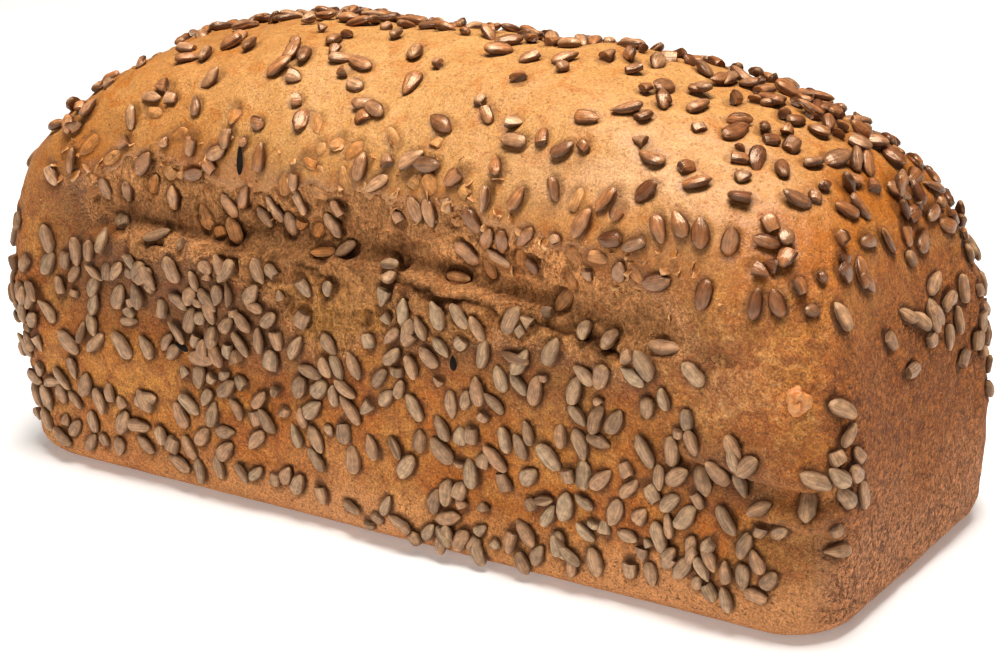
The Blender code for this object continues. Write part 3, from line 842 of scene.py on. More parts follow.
def crumb_material(colours):
    """Torn crumb: grey-brown where it stretched, golden where it opened, with painted shade and
    light.
    """
    material, nodes, shader = new_material("crumb", colours.crumb, 0.85)
    place = nodes.add("ShaderNodeTexCoord").outputs["Object"]
    dough = grain(nodes, place, 0.011, 0.0008, 0.40)
    light = nodes.mix(nodes.stored("open"), colours.crumb, colours.crumb_gold)
    light = nodes.mix(nodes.times(dough["Patches"], 0.45), light, rgba(colours.crumb, 1.35))
    light = nodes.mix(nodes.times(dough["Spots"], 0.42), light, rgba(colours.dusk, 1.4))
    inside = nodes.span(nodes.stored("border"), 0.0, 1.0, 1.0, 0.0)
    light = nodes.mix(nodes.stored("border"), light, colours.crumb)
    light = nodes.mix(nodes.times(dough["Flecks"], 0.42), light, colours.fleck)
    fibres = nodes.add("ShaderNodeMapping", {"Vector": place, "Scale": (1.0, 1.0, 0.40),
                                             "Rotation": (0.0, 0.5, 0.0)})
    fibres = nodes.noise(fibres.outputs[0], *FIBRES)
    clots = nodes.noise(place, *CLOTS)
    gold = nodes.times(nodes.span(clots, 0.52, 0.66),
                       nodes.span(nodes.stored("open"), 0.0, 1.0, 0.14, 0.60))
    light = nodes.mix(gold, light, colours.wall_gold)
    light = nodes.mix(nodes.span(clots, 0.46, 0.34, 0.0, 0.50), light, colours.wall_deep)
    # Painted shade in the crumb's holes, crevices, hollows and round its kernels, with its pores.
    pits = nodes.most(nodes.times(nodes.stored("pits"), inside), nodes.times(dough["Pores"], 0.45))
    base = nodes.mix(pits, light, colours.crumb_pit_shade)
    base = nodes.mix(1.0, base, nodes.span(dough["Grain"], 0.30, 0.70, 0.62, 1.34), "MULTIPLY")
    base = nodes.mix(1.0, base, nodes.span(fibres, 0.34, 0.64, 0.66, 1.22), "MULTIPLY")
    # Painted light: paler where the slope under the dome's overhang lies in shade.
    base = nodes.mix(1.0, base, nodes.span(nodes.stored("pale"), 0.0, 1.0, 1.0, 1.75), "MULTIPLY")
    nodes.feed(shader.inputs["Base Color"], base)
    height = nodes.plus(dough["Height"], nodes.times(fibres, 2.0))
    bump = nodes.add("ShaderNodeBump", {"Height": height, "Strength": 0.9, "Distance": 0.0005})
    nodes.feed(shader.inputs["Normal"], bump.outputs["Normal"])
    shader.inputs["Specular IOR Level"].default_value = 0.15
    return material


def kernel_grain_group():
    """Lengthwise streaks, pale tips, rims and painted side shade of a kernel, from its own map."""
    name = "Kernel grain"
    if name in bpy.data.node_groups:
        return bpy.data.node_groups[name]
    tree, nodes, given, made = new_group(
        name, [("Map", None), ("Tone", 0.5), ("Coordinates", None)],
        ["Streaks", "Tip", "Rim", "Sides", "Blotch", "Height"])
    parts = nodes.add("ShaderNodeSeparateXYZ", {"Vector": given.outputs["Map"]})
    along, around = parts.outputs["X"], parts.outputs["Y"]
    shifted = nodes.add("ShaderNodeCombineXYZ", {"X": nodes.times(along, 1.8),
                                                 "Y": nodes.times(around, 19.0),
                                                 "Z": nodes.times(given.outputs["Tone"], 60.0)})
    streaks = nodes.noise(shifted.outputs[0], 1.0, 2.0, 0.6)
    tip = nodes.plus(nodes.span(along, 0.84, 0.98), nodes.span(along, 0.08, 0.0))
    far = nodes.maths("ABSOLUTE", nodes.minus(around, 0.62))
    rim = nodes.plus(nodes.span(far, 0.10, 0.02), nodes.span(around, 0.09, 0.02))
    off_ridge = nodes.maths("ABSOLUTE", nodes.minus(around, 0.3125))
    blotch = nodes.noise(given.outputs["Coordinates"], 520.0, 3.0, 0.6)
    height = nodes.plus(streaks, nodes.times(blotch, 0.8))
    # Painted shade: darker away from the lit ridge, down the sides, and at both ends.
    ends = nodes.plus(nodes.span(along, 0.035, 0.0), nodes.span(along, 0.972, 1.0))
    sides = nodes.plus(nodes.span(off_ridge, 0.10, 0.19, 0.0, 0.50),
                       nodes.span(off_ridge, 0.18, 0.26, 0.0, 0.50))
    sides = nodes.most(sides, ends)
    nodes.fill(made, {"Streaks": streaks, "Tip": tip, "Rim": rim, "Sides": sides, "Blotch": blotch,
                      "Height": height})
    return tree


WARM_GLEAM = (1.0, 0.76, 0.55, 1.0)
PLAIN_GLEAM = (1.0, 1.0, 1.0, 1.0)


def kernel_material(name, tones, roughness, shine, shares, gleam=PLAIN_GLEAM):
    """A kernel's skin: two tones, a tint, painted side shade, a share of paler tip and rim."""
    light, dark, tint, side, pale = tones
    material, nodes, shader = new_material(name, light, roughness)
    tone = nodes.stored("tone")
    lines = nodes.add("ShaderNodeGroup", node_tree=kernel_grain_group())
    along = nodes.add("ShaderNodeUVMap", uv_map="lengthwise").outputs[0]
    nodes.fill(lines, {"Map": along, "Tone": tone,
                       "Coordinates": nodes.add("ShaderNodeTexCoord").outputs["Object"]})
    base = nodes.mix(tone, light, dark)
    base = nodes.mix(nodes.stored("tint"), base, tint)
    base = nodes.mix(1.0, base, nodes.span(lines.outputs["Streaks"], 0.30, 0.70, 0.72, 1.22),
                     "MULTIPLY")
    base = nodes.mix(1.0, base, nodes.span(lines.outputs["Blotch"], 0.32, 0.68, 0.72, 1.24),
                     "MULTIPLY")
    for part, share, shown in zip(("Sides", "Tip", "Rim"), shares, (side, pale, pale)):
        base = nodes.mix(nodes.times(lines.outputs[part], share), base, shown)
    # Painted shade on the broken faces, in the colour of the sides.
    base = nodes.mix(nodes.times(nodes.stored("cut"), 0.55), base, side)
    nodes.feed(shader.inputs["Base Color"], base)
    bump = nodes.add("ShaderNodeBump", {"Height": lines.outputs["Height"], "Strength": 0.9,
                                        "Distance": 0.00022})
    nodes.feed(shader.inputs["Normal"], bump.outputs["Normal"])
    shader.inputs["Specular IOR Level"].default_value = shine
    shader.inputs["Specular Tint"].default_value = gleam
    return material


def edged_material(name, middle, edge, roughness):
    """A peeled flake or blister that pales towards its torn edge."""
    material, nodes, shader = new_material(name, middle, roughness)
    place = nodes.add("ShaderNodeTexCoord").outputs["Object"]
    skin = grain(nodes, place, 0.006, 0.0008, 0.2)
    share = nodes.times(nodes.stored("edge"), 0.85)
    base = nodes.mix(share, middle, edge)
    base = nodes.mix(1.0, base, nodes.span(skin["Grain"], 0.30, 0.70, 0.78, 1.20), "MULTIPLY")
    nodes.feed(shader.inputs["Base Color"], base)
    shader.inputs["Specular IOR Level"].default_value = 0.4
    return material


# ---------------------------------------------------------------- the crust's mesh

CROWN_SHARE = 0.71
OUTLINE_LENGTH = 0.152
# How far the borders between finishes wander: heights and sizes.
FINISH_WOBBLE = ((0.006, 0.022), (0.003, 0.008))

# Patches of the front wall: middle along X and upwards, reach along X and upwards.
CRAG_PATCH = (0.116, 0.068, 0.027, 0.030)
LEFT_CRAG_PATCH = (-0.128, 0.060, 0.014, 0.040)
LOW_TAN_PATCH = (-0.014, 0.016, 0.022, 0.012)
HIGH_TAN_PATCH = (0.110, 0.072, 0.014, 0.010)
# Where the grey-brown and its painted shade are lifted.
LESS_GREY_AND_SHADE_PATCH = (-0.010, 0.064, 0.016, 0.010)
NOTCH_PATCH = (0.1085, 0.0750, 0.0050, 0.0018)
# Patches of grey-brown and painted shade, in crevices and under the lips: the same and a share.
GREY_AND_SHADE_PATCHES = ((0.112, 0.048, 0.020, 0.010, 1.00), (0.096, 0.080, 0.018, 0.011, 0.85),
                 (0.056, 0.055, 0.020, 0.010, 0.60), (0.133, 0.030, 0.014, 0.018, 0.75),
                 (0.074, 0.064, 0.016, 0.007, 0.60))

# The crust's fine relief, heights and sizes, and how far its smaller forms stand out or sink.
SKIN_RELIEF = ((0.00045, 0.013), (0.00030, 0.0055), (0.00016, 0.0032))
CRAG_RELIEF = ((0.0007, 0.0060), (0.0006, 0.0030))
LIP_RELIEF = ((0.0009, 0.008), (0.0005, 0.003))
NOTCH_RELIEF = ((0.0012, 0.004),)
END_BUMPS = 0.0002
KERNEL_SWELL = 0.00030
KERNEL_DIP = 0.0006
NOTCH_DEPTH = 0.0030
TORN_SINK = 0.0032
LIP_HEIGHT = 0.0011
CREASE_DEPTH = 0.0013
# The two creases at the front's right: first and last X, height at the first.
CREASES = ((0.088, 0.134, 0.0475), (0.112, 0.137, 0.0345))


class CrustMesh:
    """The crust as one closed mesh: rings up the walls, a grid over the crown, a flat base."""

    def __init__(self, loaf, kernels):
        self.loaf = loaf
        self.kernels = kernels
        sizes = loaf.sizes
        self.along = round(sizes.length / sizes.facet)
        self.across = round(sizes.width / sizes.facet)
        self.rings = round(OUTLINE_LENGTH * CROWN_SHARE / sizes.facet)

    def ring_turns(self):
        """Where a ring's points lie, corner to corner of all four sides."""
        sides = enumerate((self.along, self.across, self.along, self.across))
        return np.concatenate([side + np.arange(cells) / cells for side, cells in sides])

    def crown_grid(self):
        """Turn and rise of the points inside the last ring."""
        column, row = np.meshgrid(np.arange(1, self.along), np.arange(1, self.across))
        x, y = 2.0 * column / self.along - 1.0, 2.0 * row / self.across - 1.0
        size = np.maximum(np.maximum(np.abs(x), np.abs(y)), 1e-9)
        x, y = x / size, y / size
        turn = np.where(x >= 1.0, 1.0 + (y + 1.0) / 2, 3.0 + (1.0 - y) / 2)
        turn = np.where(y >= 1.0, 2.0 + (1.0 - x) / 2, turn)
        turn = np.where(y <= -1.0, (x + 1.0) / 2, turn)
        return turn.ravel(), (1.0 - (1.0 - CROWN_SHARE) * size).ravel()

    def build(self):
        """Makes the object, with its masks as vertex attributes."""
        ring = self.ring_turns()
        rises = np.linspace(0.0, CROWN_SHARE, self.rings + 1)
        crown_turn, crown_rise = self.crown_grid()
        turn = np.concatenate([np.tile(ring, len(rises)), crown_turn])
        rise = np.concatenate([np.repeat(rises, len(ring)), crown_rise])
        place = self.loaf.crust(turn, rise)
        facing, _ = self.loaf.normals(self.loaf.crust, turn, rise)
        masks = self.masks(place, facing)
        gaps = self.kernels.gaps(place)
        # A ring round each kernel: painted contact shadow in the colour and a shallow dip in the
        # relief.
        masks["hug"] = smooth(gaps, 0.0010, 0.0)
        place = place + facing * self.detail(place, facing, masks, gaps)[:, None]
        piece = new_object("crust_shell", place, self.faces(len(ring), len(rises)))
        for name, values in masks.items():
            set_attribute(piece.data, name, values)
        return piece

    def faces(self, around, levels):
        """Quads of the walls and the crown, and the base's one flat face."""
        here = np.arange(around)
        there = (here + 1) % around
        quads = []
        for level in range(levels - 1):
            low, high = level * around, (level + 1) * around
            quads.append(np.stack([low + here, low + there, high + there, high + here], axis=1))
        edge = (levels - 1) * around + here
        inside = levels * around + np.arange((self.across - 1) * (self.along - 1))
        grid = np.zeros((self.across + 1, self.along + 1), int)
        grid[1:-1, 1:-1] = inside.reshape(self.across - 1, self.along - 1)
        grid[0, :] = edge[:self.along + 1]
        grid[:, -1] = edge[self.along:self.along + self.across + 1]
        grid[-1, ::-1] = edge[self.along + self.across:2 * self.along + self.across + 1]
        grid[::-1, 0] = np.concatenate([edge[2 * self.along + self.across:], edge[:1]])
        quads.append(grid_quads(grid))
        faces = np.concatenate(quads).tolist()
        faces.append(list(range(around - 1, -1, -1)))
        return faces

    def masks(self, place, facing):
        """Where each finish, painted shade, sheen and bounce light shows, from 0 to 1."""
        x, y, z = place.T
        wobble = fine_relief(place, FINISH_WOBBLE, 11)
        rim = 0.084 + 0.008 * smooth(x, 0.02, 0.11)
        wall = smooth(z + wobble, rim + 0.014, rim - 0.008)
        end = smooth(np.abs(facing[:, 0]), 0.50, 0.95) * smooth(z + wobble, 0.096, 0.070)
        crags = patch(x, z, *CRAG_PATCH) * smooth(-facing[:, 1], 0.2, 0.6)
        crags = np.maximum(crags, 0.6 * patch(x, z, *LEFT_CRAG_PATCH))
        # Pale dust and painted sheen on the dome's right shoulder, in patches.
        bloom = hump(x, 0.075, 0.035) * hump(z + 0.5 * wobble, 0.111, 0.010)
        bloom = bloom * smooth(y, 0.0, -0.02) * smooth(bumps(place, 0.006, 14), -0.8, 0.4)
        return {"wall": wall, "end": end, "browned": self.browned(place, facing),
                "tan": self.tan(place, facing, wobble), "dusk": self.dusk(place, facing, wobble),
                "crags": crags, "bloom": 0.5 * bloom, "torn": self.loaf.torn(place, facing)}

    def browned(self, place, facing):
        """Deeper brown on the dome: towards both ends, along its edge and over the end faces."""
        x, _, z = place.T
        browned = 0.44 * smooth(x, 0.060, 0.130) + 0.42 * smooth(x, -0.02, -0.09)
        browned = browned + 0.10 * hump(x, 0.045, 0.030)
        browned = browned + 0.30 * smooth(z, 0.116, 0.096)
        browned = browned + 0.8 * smooth(facing[:, 0], 0.35, 0.75) * hump(z, 0.090, 0.026)
        return np.clip(browned * (1.0 + 0.6 * bumps(place, 0.02, 13)), 0.0, 1.0)

    def tan(self, place, facing, wobble):
        """Paler tan, partly painted bounce light: the walls' foot, two patches, up the end faces.
        """
        x, _, z = place.T
        low = smooth(z + 0.5 * wobble, 0.024, 0.010)
        tan = low * (0.50 + 0.50 * hump(x, -0.014, 0.034) + 0.4 * smooth(x, 0.04, 0.08))
        tan = np.maximum(tan, 0.55 * patch(x, z, *LOW_TAN_PATCH))
        tan = np.maximum(tan, 0.60 * patch(x, z + wobble, *HIGH_TAN_PATCH))
        tan = np.where(np.abs(facing[:, 0]) > 0.6, smooth(z + 2.0 * wobble, 0.050, 0.008), tan)
        return np.clip(tan, 0.0, 1.0)

    def dusk(self, place, facing, wobble):
        """Grey-brown and painted shade: the front wall's upper left, under the tear and patches."""
        x, _, z = place.T
        # Painted shade under the dome's overhang, in crevices and under the lips, over grey-brown
        # dough.
        dusk = smooth(z + wobble, 0.040, 0.060) * smooth(z, 0.099, 0.086) * smooth(x, 0.02, -0.03)
        dusk = np.maximum(dusk, hump(z + 0.5 * wobble, 0.068, 0.010) * smooth(x, 0.105, 0.080))
        dusk = np.maximum(dusk, patches(x, z + wobble, GREY_AND_SHADE_PATCHES))
        dusk = dusk * (1.0 - 0.8 * patch(x, z, *LESS_GREY_AND_SHADE_PATCH))
        dusk = dusk * smooth(-facing[:, 1], 0.3, 0.7)
        return 0.88 * dusk * smooth(x, -0.128, -0.098)

    def detail(self, place, facing, masks, gaps):
        """Relief finer than the solid's facets, in metres outwards."""
        x, z = place[:, 0], place[:, 2]
        total = fine_relief(place, SKIN_RELIEF, 21)
        total = total + masks["end"] * END_BUMPS * bumps(place, 0.0028, 26)
        total = total + KERNEL_SWELL * smooth(gaps, 0.0034, 0.0006) - KERNEL_DIP * masks["hug"]
        front = smooth(-facing[:, 1], 0.3, 0.7)
        total = total + masks["crags"] * fine_relief(place, CRAG_RELIEF, 27)
        notch = patch(x, z + fine_relief(place, NOTCH_RELIEF, 29), *NOTCH_PATCH)
        total = total - NOTCH_DEPTH * front * notch
        total = total + front * self.lips(place)
        total = total - TORN_SINK * smooth(masks["torn"], 0.46, 0.72)
        return total * smooth(z, 0.0, 0.004)

    def lips(self, place):
        """Sharper edges and creases along the two folds of dough at the front's right."""
        x, z = place[:, 0], place[:, 2]
        ragged = fine_relief(place, LIP_RELIEF, 28)
        total = np.zeros(len(x))
        for first, last, height in CREASES:
            line = height - 0.09 * (x - first) + ragged
            reach = smooth(x, first, first + 0.008) * smooth(x, last, last - 0.004)
            total = total + reach * LIP_HEIGHT * hump(z, line + 0.0026, 0.0026)
            total = total - reach * CREASE_DEPTH * hump(z, line - 0.0006, 0.0013)
        return total


def grid_quads(grid):
    """Quads between the points of a grid of vertex numbers."""
    quads = np.stack([grid[:-1, :-1], grid[:-1, 1:], grid[1:, 1:], grid[1:, :-1]], axis=-1)
    return quads.reshape(-1, 4)


# Crevices of the front tear: points of two ragged lines along the loaf, in mm of x and z.
CREVICES = (((4.0, 84.0), (13.0, 81.0), (19.0, 79.4), (29.0, 78.6), (40.0, 78.4), (44.0, 76.0)),
            ((46.0, 78.0), (55.0, 76.4), (65.0, 75.6), (73.0, 74.0), (84.0, 70.4)),
            ((-56.0, 78.5), (-48.0, 81.5), (-42.0, 80.5)),
            ((-27.0, 80.0), (-18.0, 77.5), (-12.0, 77.0)),
            ((-97.0, 81.0), (-90.0, 78.6), (-82.0, 77.4)), ((-74.0, 77.6), (-66.0, 76.8)))
CREVICE_RELIEF = ((0.0016, 0.0085), (0.0012, 0.0042), (0.0006, 0.0018))
CRUMB_RELIEF = ((0.00090, 0.0110), (0.00085, 0.0052), (0.00058, 0.0025), (0.00028, 0.0013))
CRUMB_STRETCH = (0.62, 1.0, 1.25)
HOLE_DEPTH = 0.0011
CREVICE_DEPTH = 0.0024
GROOVE_DEPTH = 0.0009
SLAB_LIFT = 0.0002
SLAB_SINK = 0.0014
SLAB_THICKNESS = 0.0085
# Where the crumb opened, where its shaded slope gets painted light and where painted shade lies,
# with shares.
OPEN_PATCHES = ((-0.010, 0.066, 0.022, 0.011, 1.0), (0.042, 0.069, 0.020, 0.007, 1.0),
                (0.080, 0.066, 0.012, 0.006, 0.7))
PAINTED_LIGHT_PATCHES = ((0.050, 0.088, 0.028, 0.008, 1.0), (-0.080, 0.092, 0.022, 0.006, 0.5))
SHADE_PATCH = (0.074, 0.067, 0.014, 0.006)


def crevice_depth(place):
    """How deep each point of the tear lies and its painted shade, from the ragged lines."""
    ragged = fine_relief(place, CREVICE_RELIEF, 41)
    x, z = place[:, 0], place[:, 2] + ragged
    total = np.zeros(len(x))
    for line in CREVICES:
        line_x = np.array([point[0] for point in line]) * MM
        line_z = np.array([point[1] for point in line]) * MM
        height = z - np.interp(x, line_x, line_z)
        reach = smooth(x, line_x[0] - 0.002, line_x[0] + 0.004)
        reach = reach * smooth(x, line_x[-1] + 0.002, line_x[-1] - 0.004)
        inside = smooth(height, 0.0006, -0.0004) * smooth(height, -0.0034, -0.0006)
        brow = 0.45 * hump(height, 0.0018, 0.0016)
        total = np.maximum(total, reach * inside) - reach * brow
    return total


class CrumbSlab:
    """The tear's rough crumb as a closed slab that rises out of the skin where it is torn."""

    def __init__(self, loaf, kernels, way, facet):
        self.loaf = loaf
        self.kernels = kernels
        self.way = way
        self.columns = round(0.252 / facet)
        self.rows = round(0.060 / facet)

    def build(self, name):
        """Makes the slab: a rough face outside, a plain one inside, closed all round."""
        first = 0.0 if self.way < 0.0 else 2.0
        turn = first + np.linspace(0.035, 0.965, self.columns)
        low, high = np.interp((0.050, 0.110), self.loaf.level, self.loaf.share)
        rise = np.linspace(low, high, self.rows)
        turn, rise = (part.ravel() for part in np.meshgrid(turn, rise))
        place = self.loaf.crust(turn, rise)
        facing, _ = self.loaf.normals(self.loaf.crust, turn, rise)
        torn = self.loaf.torn(place, facing)
        opened = self.opened(place)
        relief, pits = self.relief(place, torn, opened)
        outer = place + facing * relief[:, None]
        inner = place - facing * SLAB_THICKNESS
        count = len(place)
        grid = np.arange(count).reshape(self.rows, self.columns)
        faces = np.concatenate([grid_quads(grid), grid_quads(grid[::-1] + count),
                                self.rim(grid, count)])
        piece = new_object(name, np.concatenate([outer, inner]), faces.tolist())
        set_attribute(piece.data, "pits", np.concatenate([pits, np.ones(count)]))
        border = smooth(torn, 0.90, 0.55)
        # Painted light on the crumb's slope in the overhang's shade.
        pale = patches(place[:, 0], place[:, 2], PAINTED_LIGHT_PATCHES)
        for mask, values in (("border", border), ("pale", pale), ("open", opened)):
            set_attribute(piece.data, mask, np.concatenate([values, values]))
        return piece

    def opened(self, place):
        """Where the crumb opened into coarse golden pores, below the crevices."""
        x, z = place[:, 0], place[:, 2]
        return patches(x, z + 0.003 * bumps(place, 0.011, 59), OPEN_PATCHES)

    def rim(self, grid, count):
        """Quads that close the slab between its two faces."""
        edge = np.concatenate([grid[0, :-1], grid[:-1, -1], grid[-1, :0:-1], grid[:0:-1, 0]])
        after = np.roll(edge, -1)
        return np.stack([edge, edge + count, after + count, after], axis=1)

    def relief(self, place, torn, opened):
        """Height over the form in metres, and how much painted shade each point gets."""
        x, _, z = place.T
        stretched = place * np.array(CRUMB_STRETCH)
        rough = fine_relief(stretched, CRUMB_RELIEF, 51)
        threads = np.abs(bumps(stretched, 0.0026, 56)) + np.abs(bumps(stretched, 0.0013, 57))
        rough = rough + (0.00020 + 0.00045 * opened) * (0.5 - threads)
        holes = smooth(bumps(place, 0.0036, 58), 0.46, 0.76) * (0.50 + 0.50 * opened)
        caves = 0.6 * smooth(bumps(stretched, 0.0048, 60), 0.30, 0.70)
        caves = caves * hump(z, 0.080, 0.0075)
        holes = np.maximum(holes, caves)
        cut = crevice_depth(place) if self.way < 0.0 else np.zeros(len(place))
        cut = cut * (0.45 + 0.55 * smooth(x, -0.02, 0.01))
        gaps = self.kernels.gaps(place)
        groove = smooth(gaps, 0.0011, 0.0001)
        height = rough - HOLE_DEPTH * holes - CREVICE_DEPTH * cut - GROOVE_DEPTH * groove
        height = height + SLAB_LIFT
        sunk = -SLAB_SINK * (1.0 - smooth(torn, 0.15, 0.50))
        # Painted shade: the relief's hollows, holes, crevices, grooves round kernels and a band
        # under the overhang.
        hollows = 170.0 * np.minimum(rough + 0.0004, 0.0)
        shade = 0.30 * hump(z, 0.0810, 0.0065) * smooth(x, 0.085, 0.050)
        shade = shade + 0.40 * patch(x, z, *SHADE_PATCH)
        pits = np.clip(0.8 * holes + 1.1 * np.maximum(cut, 0.0) + 0.60 * groove - hollows + shade,
                       0.0, 1.0)
        return height * smooth(torn, 0.42, 0.85) + sunk, pits


# ---------------------------------------------------------------- kernel shapes

RING_STEPS = (0.03, 0.12, 0.28, 0.50, 0.71, 0.87, 0.965)
TIP_POWER = 0.74
# A kernel's outline across: a low ridge outside, crisp edges beside it, a rounded back.
SECTION = ((0.97, -0.08), (0.80, 0.55), (0.28, 0.94), (-0.26, 1.00), (-0.78, 0.62), (-1.00, -0.04),
           (-0.55, -0.85), (0.55, -0.85))
CRISP_EDGES = (1, 4)
CUT_HOLLOW = 0.06


def shape_faces(rings, sides):
    """Quads between rings of points and a fan at each end, facing outwards."""
    faces = []
    for ring in range(rings - 1):
        low, high = ring * sides, (ring + 1) * sides
        for side in range(sides):
            after = (side + 1) % sides
            faces.append((low + side, low + after, high + after, high + side))
    tail, tip, last = rings * sides, rings * sides + 1, (rings - 1) * sides
    for side in range(sides):
        after = (side + 1) % sides
        faces.append((tail, after, side))
        faces.append((tip, last + side, last + after))
    return faces


def outline(step, peak, blunt, sharp):
    """A kernel's half width at one step of its length: a round end and a pointed one."""
    if step < peak:
        return (1.0 - ((peak - step) / peak) ** blunt) ** 0.5
    return (1.0 - ((step - peak) / (1.0 - peak)) ** sharp) ** TIP_POWER


def kernel_shape(name, peak, blunt, sharp, start=0.0, end=1.0, bend=0.0):
    """A closed kernel of unit length, width and thickness, its point at +X, cut at either end."""
    steps = [start + (end - start) * step for step in RING_STEPS]
    if start > 0.0:
        steps[0] = start
    if end < 1.0:
        steps[-1] = end
    vertices, lengthwise = [], []
    for step in steps:
        full = outline(step, peak, blunt, sharp)
        for side, (y, z) in enumerate(SECTION):
            lift = bend * (step - 0.5) ** 2
            vertices.append((step - 0.5, 0.5 * full * y, 0.5 * full ** 0.85 * z + lift))
            lengthwise.append((step, side / len(SECTION)))
    cuts = [0.0] * len(vertices)
    for step, inward in ((start, CUT_HOLLOW), (end, -CUT_HOLLOW)):
        broken = 0.0 < step < 1.0
        sunk = step + inward * broken
        vertices.append((sunk - 0.5, 0.0, bend * (step - 0.5) ** 2))
        lengthwise.append((step, 0.5))
        cuts.append(float(broken))
    piece = new_object(name, vertices, shape_faces(len(steps), len(SECTION)))
    set_attribute(piece.data, "cut", cuts)
    layer = piece.data.uv_layers.new(name="lengthwise")
    for loop in piece.data.loops:
        layer.data[loop.index].uv = lengthwise[loop.vertex_index]
    mark_crisp(piece.data, len(steps), start > 0.0, end < 1.0)
    piece.hide_render = True
    return piece


def mark_crisp(data, rings, cut_start, cut_end):
    """Keeps the long edges beside the ridge, and the rims of cuts, crisp when shaded smooth."""
    sides = len(SECTION)
    crisp = []
    for edge in data.edges:
        low, high = sorted(edge.vertices)
        long_edge = high < rings * sides and low % sides == high % sides
        crisp.append(long_edge and low % sides in CRISP_EDGES and 0 < low // sides < rings - 2)
        same_ring = high < rings * sides and low // sides == high // sides
        if same_ring and (cut_start and low < sides or cut_end and low // sides == rings - 1):
            crisp[-1] = True
    layer = data.attributes.new("sharp_edge", "BOOLEAN", "EDGE")
    layer.data.foreach_set("value", crisp)


def flake_shape(name, curl, taper):
    """A thin closed sheet from its hinge at x = 0 to its free, curling edge at x = 1."""
    along, across = 7, 5
    vertices, edge = [], []
    for face in (1.0, -1.0):
        for row in range(along):
            share = row / (along - 1)
            for column in range(across):
                side = 2.0 * column / (across - 1) - 1.0
                width = 0.5 * (1.0 - taper * share ** 2)
                z = curl * share ** 2 - 0.18 * side ** 2 * (1.0 - share) + face * 0.035
                x = share * (1.0 - 0.22 * side ** 2)
                vertices.append((x, side * width, z))
                edge.append(max(smooth(share, 0.55, 1.0), 0.8 * smooth(abs(side), 0.6, 1.0)))
    grid = np.arange(along * across).reshape(along, across)
    count = along * across
    ring = np.concatenate([grid[0, :-1], grid[:-1, -1], grid[-1, :0:-1], grid[:0:-1, 0]])
    after = np.roll(ring, -1)
    rim = np.stack([ring, ring + count, after + count, after], axis=1)
    faces = np.concatenate([grid_quads(grid)[:, ::-1], grid_quads(grid) + count, rim[:, ::-1]])
    piece = new_object(name, vertices, faces.tolist())
    set_attribute(piece.data, "edge", edge)
    piece.hide_render = True
    return piece


def kernel_shapes():
    """Whole, plump, slim and broken kernels, in the order of their numbers."""
    pieces = (kernel_shape("kernel_whole", 0.42, 2.3, 2.4),
              kernel_shape("kernel_plump", 0.44, 2.6, 2.7),
              kernel_shape("kernel_slim", 0.38, 2.1, 2.1),
              kernel_shape("kernel_snapped", 0.40, 2.3, 2.2, 0.0, 0.66),
              kernel_shape("kernel_middle", 0.45, 2.4, 2.4, 0.22, 0.78),
              kernel_shape("kernel_bent", 0.40, 2.1, 2.0, bend=0.7),
              kernel_shape("kernel_tip", 0.42, 2.2, 1.9, 0.40, 1.0),
              kernel_shape("kernel_round", 0.50, 2.8, 3.2))
    return {piece.name: piece for piece in pieces}


# ---------------------------------------------------------------- kernels by nodes

def scatter_tree(shape_names):
    """Puts the right shape on each point, roughens it and makes it one plain mesh."""
    tree = bpy.data.node_groups.new("Scatter shapes", "GeometryNodeTree")
    face = tree.interface
    face.new_socket("Points", in_out="INPUT", socket_type="NodeSocketGeometry")
    for name in shape_names:
        face.new_socket(name, in_out="INPUT", socket_type="NodeSocketObject")
    face.new_socket("Unevenness", in_out="INPUT", socket_type="NodeSocketFloat")
    face.new_socket("Dent size", in_out="INPUT", socket_type="NodeSocketFloat")
    face.new_socket("Finish", in_out="INPUT", socket_type="NodeSocketMaterial")
    face.new_socket("Geometry", in_out="OUTPUT", socket_type="NodeSocketGeometry")
    nodes = Nodes(tree)
    given, made = nodes.add("NodeGroupInput"), nodes.add("NodeGroupOutput")

    def read(name, kind):
        node = nodes.add("GeometryNodeInputNamedAttribute", data_type=kind)
        node.inputs["Name"].default_value = name
        return node.outputs["Attribute"]

    turned = nodes.add("FunctionNodeEulerToRotation", {0: read("turned", "FLOAT_VECTOR")})
    size, shape = read("size", "FLOAT_VECTOR"), read("shape", "INT")
    join = nodes.add("GeometryNodeJoinGeometry")
    for number, name in enumerate(shape_names):
        wanted = nodes.add("FunctionNodeCompare", data_type="INT", operation="EQUAL")
        nodes.feed(wanted.inputs[2], shape)
        wanted.inputs[3].default_value = number
        model = nodes.add("GeometryNodeObjectInfo", {"Object": given.outputs[name]})
        put = nodes.add("GeometryNodeInstanceOnPoints", {
            "Points": given.outputs["Points"], "Selection": wanted.outputs[0],
            "Instance": model.outputs["Geometry"], "Rotation": turned.outputs[0],
            "Scale": size})
        tree.links.new(put.outputs[0], join.inputs[0])
    real = nodes.add("GeometryNodeRealizeInstances", {0: join.outputs[0]})
    where = nodes.add("GeometryNodeInputPosition").outputs[0]
    scale = nodes.maths("DIVIDE", 1.0, given.outputs["Dent size"])
    dents = nodes.add("ShaderNodeTexNoise", {"Vector": where, "Scale": scale, "Detail": 1.0})
    centred = nodes.add("ShaderNodeVectorMath", {0: dents.outputs["Color"], 1: (0.5, 0.5, 0.5)},
                        operation="SUBTRACT")
    offset = nodes.add("ShaderNodeVectorMath", {0: centred.outputs[0]}, operation="SCALE")
    nodes.feed(offset.inputs["Scale"], given.outputs["Unevenness"])
    moved = nodes.add("GeometryNodeSetPosition", {"Geometry": real.outputs[0],
                                                  "Offset": offset.outputs[0]})
    dressed = nodes.add("GeometryNodeSetMaterial", {"Geometry": moved.outputs[0],
                                                    "Material": given.outputs["Finish"]})
    nodes.feed(made.inputs[0], dressed.outputs[0])
    return tree


